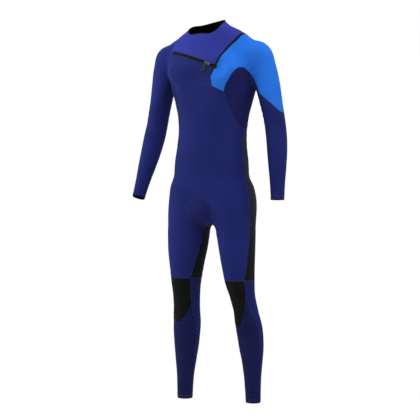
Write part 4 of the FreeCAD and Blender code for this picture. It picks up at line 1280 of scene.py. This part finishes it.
def chest_ribbon(line, half_width, low, high):
    """A flat tape laid on the chest along a line of the front view, in millimetres."""
    line = np.array(smooth_line(line)) * MM
    places = [on_chest(x, z) for x, z in line]
    spine, up = np.array([p for p, _ in places]), np.array([n for _, n in places])
    along = unit_rows(np.gradient(spine, axis=0))
    aside = np.cross(along, up)
    section = [(-1, low), (-0.9, high), (0.9, high), (1, low)]
    vertices = np.stack([spine + aside * (s * half_width) + up * h for s, h in section], 1).reshape(-1, 3)
    return vertices, ring_faces(len(spine), len(section))


PATCH_HALF, PATCH_STEP = ZIP_HALF + 0.0016, 0.0012
TAIL_HALF, TAIL_SUNK, TAIL_RISE = 0.0036, 0.0010, 0.0012


def end_patch(node, start, end, tail):
    pile = Pile()
    for low, high, reach in ((-0.0036, 0.0008, PATCH_HALF), (0.0007, 0.0013, PATCH_HALF - PATCH_STEP)):
        profile = strip(ZIP_RADIUS + low, ZIP_RADIUS + high, -reach, reach)
        pile.add(swept(np.linspace(start, end, 8), profile))
    if tail:
        pile.add(chest_ribbon(tail, TAIL_HALF, -TAIL_SUNK, TAIL_RISE))
    stands_for(pile.build(f"{node}_moulded", ["binding"], crease=40), "suit", [node], "zip_tape")


end_patch("zip_apex_patch", 19.4, 21.4, [(70, -168), (65, -180), (60, -192), (57, -204)])
end_patch("zip_start_patch", -21.7, -20.5, None)

# ---- Slider, its puller link and the tab that hangs from it ----
SLIDER_PARKED, SLIDER_HALF, SLIDER_SIDE, PLATE, CLEAR, FLANGE = 14.0, 0.012, 0.0055, 0.0020, 0.0007, 0.0011
FRONT_FACE = ZIP_RADIUS - TAPE_DEPTH + TOOTH_THICKNESS / 2 + CLEAR
BACK_FACE = ZIP_RADIUS - TAPE_DEPTH - TOOTH_THICKNESS / 2 - CLEAR
FRONT_TOP = FRONT_FACE + PLATE
POST_FROM_END, PULLER_LEAN = 0.005, math.radians(15)
parked = at_zip(SLIDER_PARKED)
radial = parked.axes[0]
straight_down = unit(np.array((0, 0, -1)) + radial * radial[2])
hang = straight_down * math.cos(PULLER_LEAN) - np.cross(radial, straight_down) * math.sin(PULLER_LEAN)
post_base = parked.out((FRONT_TOP, -SLIDER_HALF + POST_FROM_END, 0))
puller = Place(post_base, np.cross(radial, hang), -hang, radial)

# out of the chest from and to, along the zip from and to, half the height across it, rounding, its steps
slider = Pile()
for low, high, start, end, half, edge, steps in (
    (FRONT_FACE, FRONT_TOP, -SLIDER_HALF, SLIDER_HALF, SLIDER_SIDE, 0.0008, 3),
    (BACK_FACE - PLATE, BACK_FACE, -SLIDER_HALF, SLIDER_HALF, SLIDER_SIDE, 0.0008, 3),
    (BACK_FACE - 0.0002, FRONT_FACE + 0.0002, -SLIDER_HALF + 0.003, SLIDER_HALF - 0.003, 0.0005, 0.0002, 1),
    (FRONT_TOP - 0.0004, FRONT_TOP + 0.0001, 0.0005, 0.0095, 0.0022, 0.0002, 2),
):
    slider.add(rounded_block((low, start, -half), (high, end, half), edge, steps), parked)
flanges = ((FRONT_FACE - FLANGE, FRONT_FACE + 0.0005), (BACK_FACE - 0.0005, BACK_FACE + FLANGE))
for low, high in ((-SLIDER_SIDE, -SLIDER_SIDE + 0.001), (SLIDER_SIDE - 0.001, SLIDER_SIDE)):
    for inner, outer in flanges:
        slider.add(rounded_block((inner, -SLIDER_HALF, low), (outer, SLIDER_HALF, high), 0.0003, 1), parked)
POST, POST_HEIGHT, HEAD, HEAD_HEIGHT = 0.0020, 0.0030, 0.0034, 0.0010
slider.add(turned(ring_profile(0, POST, -PLATE / 2, POST_HEIGHT + 0.0002, 0.0001)), puller)
slider.add(turned(ring_profile(0, HEAD, POST_HEIGHT, POST_HEIGHT + HEAD_HEIGHT, 0.0003)), puller)
zip_slider = slider.build("zip_slider_moulded", ["slider_plastic"], crease=40)
stands_for(zip_slider, "slider", ["zip_slider"], "slider_plastic")

LINK_LOW, LINK_HIGH, LINK_RADIUS, LINK_HALF, ARM_RISE = 0.0003, 0.0027, 0.0052, 0.002, 0.0008
ARM_START, ARM_PAST_PIN = -0.0035, 0.0014
PIN_DROP, PIN_RISE, PIN, PIN_HALF, RUNNING_GAP = 0.0105, 0.0024, 0.0012, 0.0060, 0.00006


def crosswise(profile, start):
    """A turned profile laid along the pin, from a start across the puller."""
    vertices, faces = turned(profile, 24)
    vertices = np.column_stack([vertices[:, 2] + start, vertices[:, 1] - PIN_DROP, vertices[:, 0] + PIN_RISE])
    return vertices, faces


link = Pile()
for shape in (
    turned(ring_profile(POST + RUNNING_GAP, LINK_RADIUS, LINK_LOW, LINK_HIGH, 0.0004)),
    rounded_block(
        (-LINK_HALF, -PIN_DROP - ARM_PAST_PIN, LINK_LOW), (LINK_HALF, ARM_START, LINK_HIGH + ARM_RISE), 0.0005
    ),
    crosswise(ring_profile(0, PIN, 0, 2 * PIN_HALF, 0.0002), -PIN_HALF),
):
    link.add(shape, puller)
puller_link = link.build("puller_link_moulded", ["slider_plastic"], crease=40)
stands_for(puller_link, "puller", ["puller_link"], "slider_plastic")

TAB_HALF, TAB_TOP, TAB_LOW, TAB_THICK = 0.010, -0.0132, -0.0342, 0.0016
EAR_IN, EAR_OUT, EYE = 0.0023, 0.0055, 0.0022
RIBS, RIB_FIRST, RIB_STEP, RIB_WIDTH, RIB_HALF = 5, 0.0035, 0.0032, 0.0014, 0.0078
RIB_SUNK, RIB_RISE = 0.0003, 0.0005
tab = Pile()


def tab_block(left, low, right, high, half_thick, edge, segments, middle=PIN_RISE):
    corners = (left, low, middle - half_thick), (right, high, middle + half_thick)
    tab.add(rounded_block(*corners, edge, segments), puller)


tab_block(-TAB_HALF, TAB_LOW, TAB_HALF, TAB_TOP, TAB_THICK, 0.0012, 3)
for low, high in ((-EAR_OUT, -EAR_IN), (EAR_IN, EAR_OUT)):
    tab.add(crosswise(ring_profile(PIN + RUNNING_GAP, EYE, 0, high - low, 0.0003), low), puller)
    tab_block(low, TAB_TOP - 0.0005, high, -PIN_DROP - PIN - 0.0002, TAB_THICK, 0.0004, 1)
for level in TAB_LOW + RIB_FIRST + RIB_STEP * np.arange(RIBS):
    for face in (1, -1):
        middle = PIN_RISE + face * (TAB_THICK + (RIB_RISE - RIB_SUNK) / 2)
        tab_block(-RIB_HALF, level, RIB_HALF, level + RIB_WIDTH, (RIB_RISE + RIB_SUNK) / 2, 0.0003, 1, middle)
pull_tab = tab.build("pull_tab_moulded", ["tab_rubber"], crease=40)
stands_for(pull_tab, "tab", ["pull_tab"], "tab_rubber")

# ---- Light and surroundings: a white studio with soft light from above ----
scene = bpy.context.scene
scene.view_settings.view_transform = "Standard"
world = bpy.data.worlds.new("studio")
world.use_nodes = True
background = world.node_tree.nodes["Background"].inputs
background["Color"].default_value = (1, 1, 1, 1)
background["Strength"].default_value = 1.0
scene.world = world


def soft_light(name, place, aim, power, width, height):
    light = bpy.data.lights.new(name, "AREA")
    light.shape = "RECTANGLE"
    light.size, light.size_y = width, height
    light.energy = power
    lamp = bpy.data.objects.new(name, light)
    lamp.location = place
    lamp.rotation_euler = (Vector(place) - Vector(aim)).to_track_quat("Z", "Y").to_euler()
    scene.collection.objects.link(lamp)


soft_light("overhead", (0.3, -1.2, 1.9), (0, 0, -0.3), 36, 1.6, 1.2)
soft_light("right_side", (-2.0, -0.7, -0.2), (0, 0, -0.5), 30, 0.5, 2.0)
soft_light("left_rim", (2.2, 0.5, 0.3), (0, 0, -0.6), 10, 0.8, 2.0)
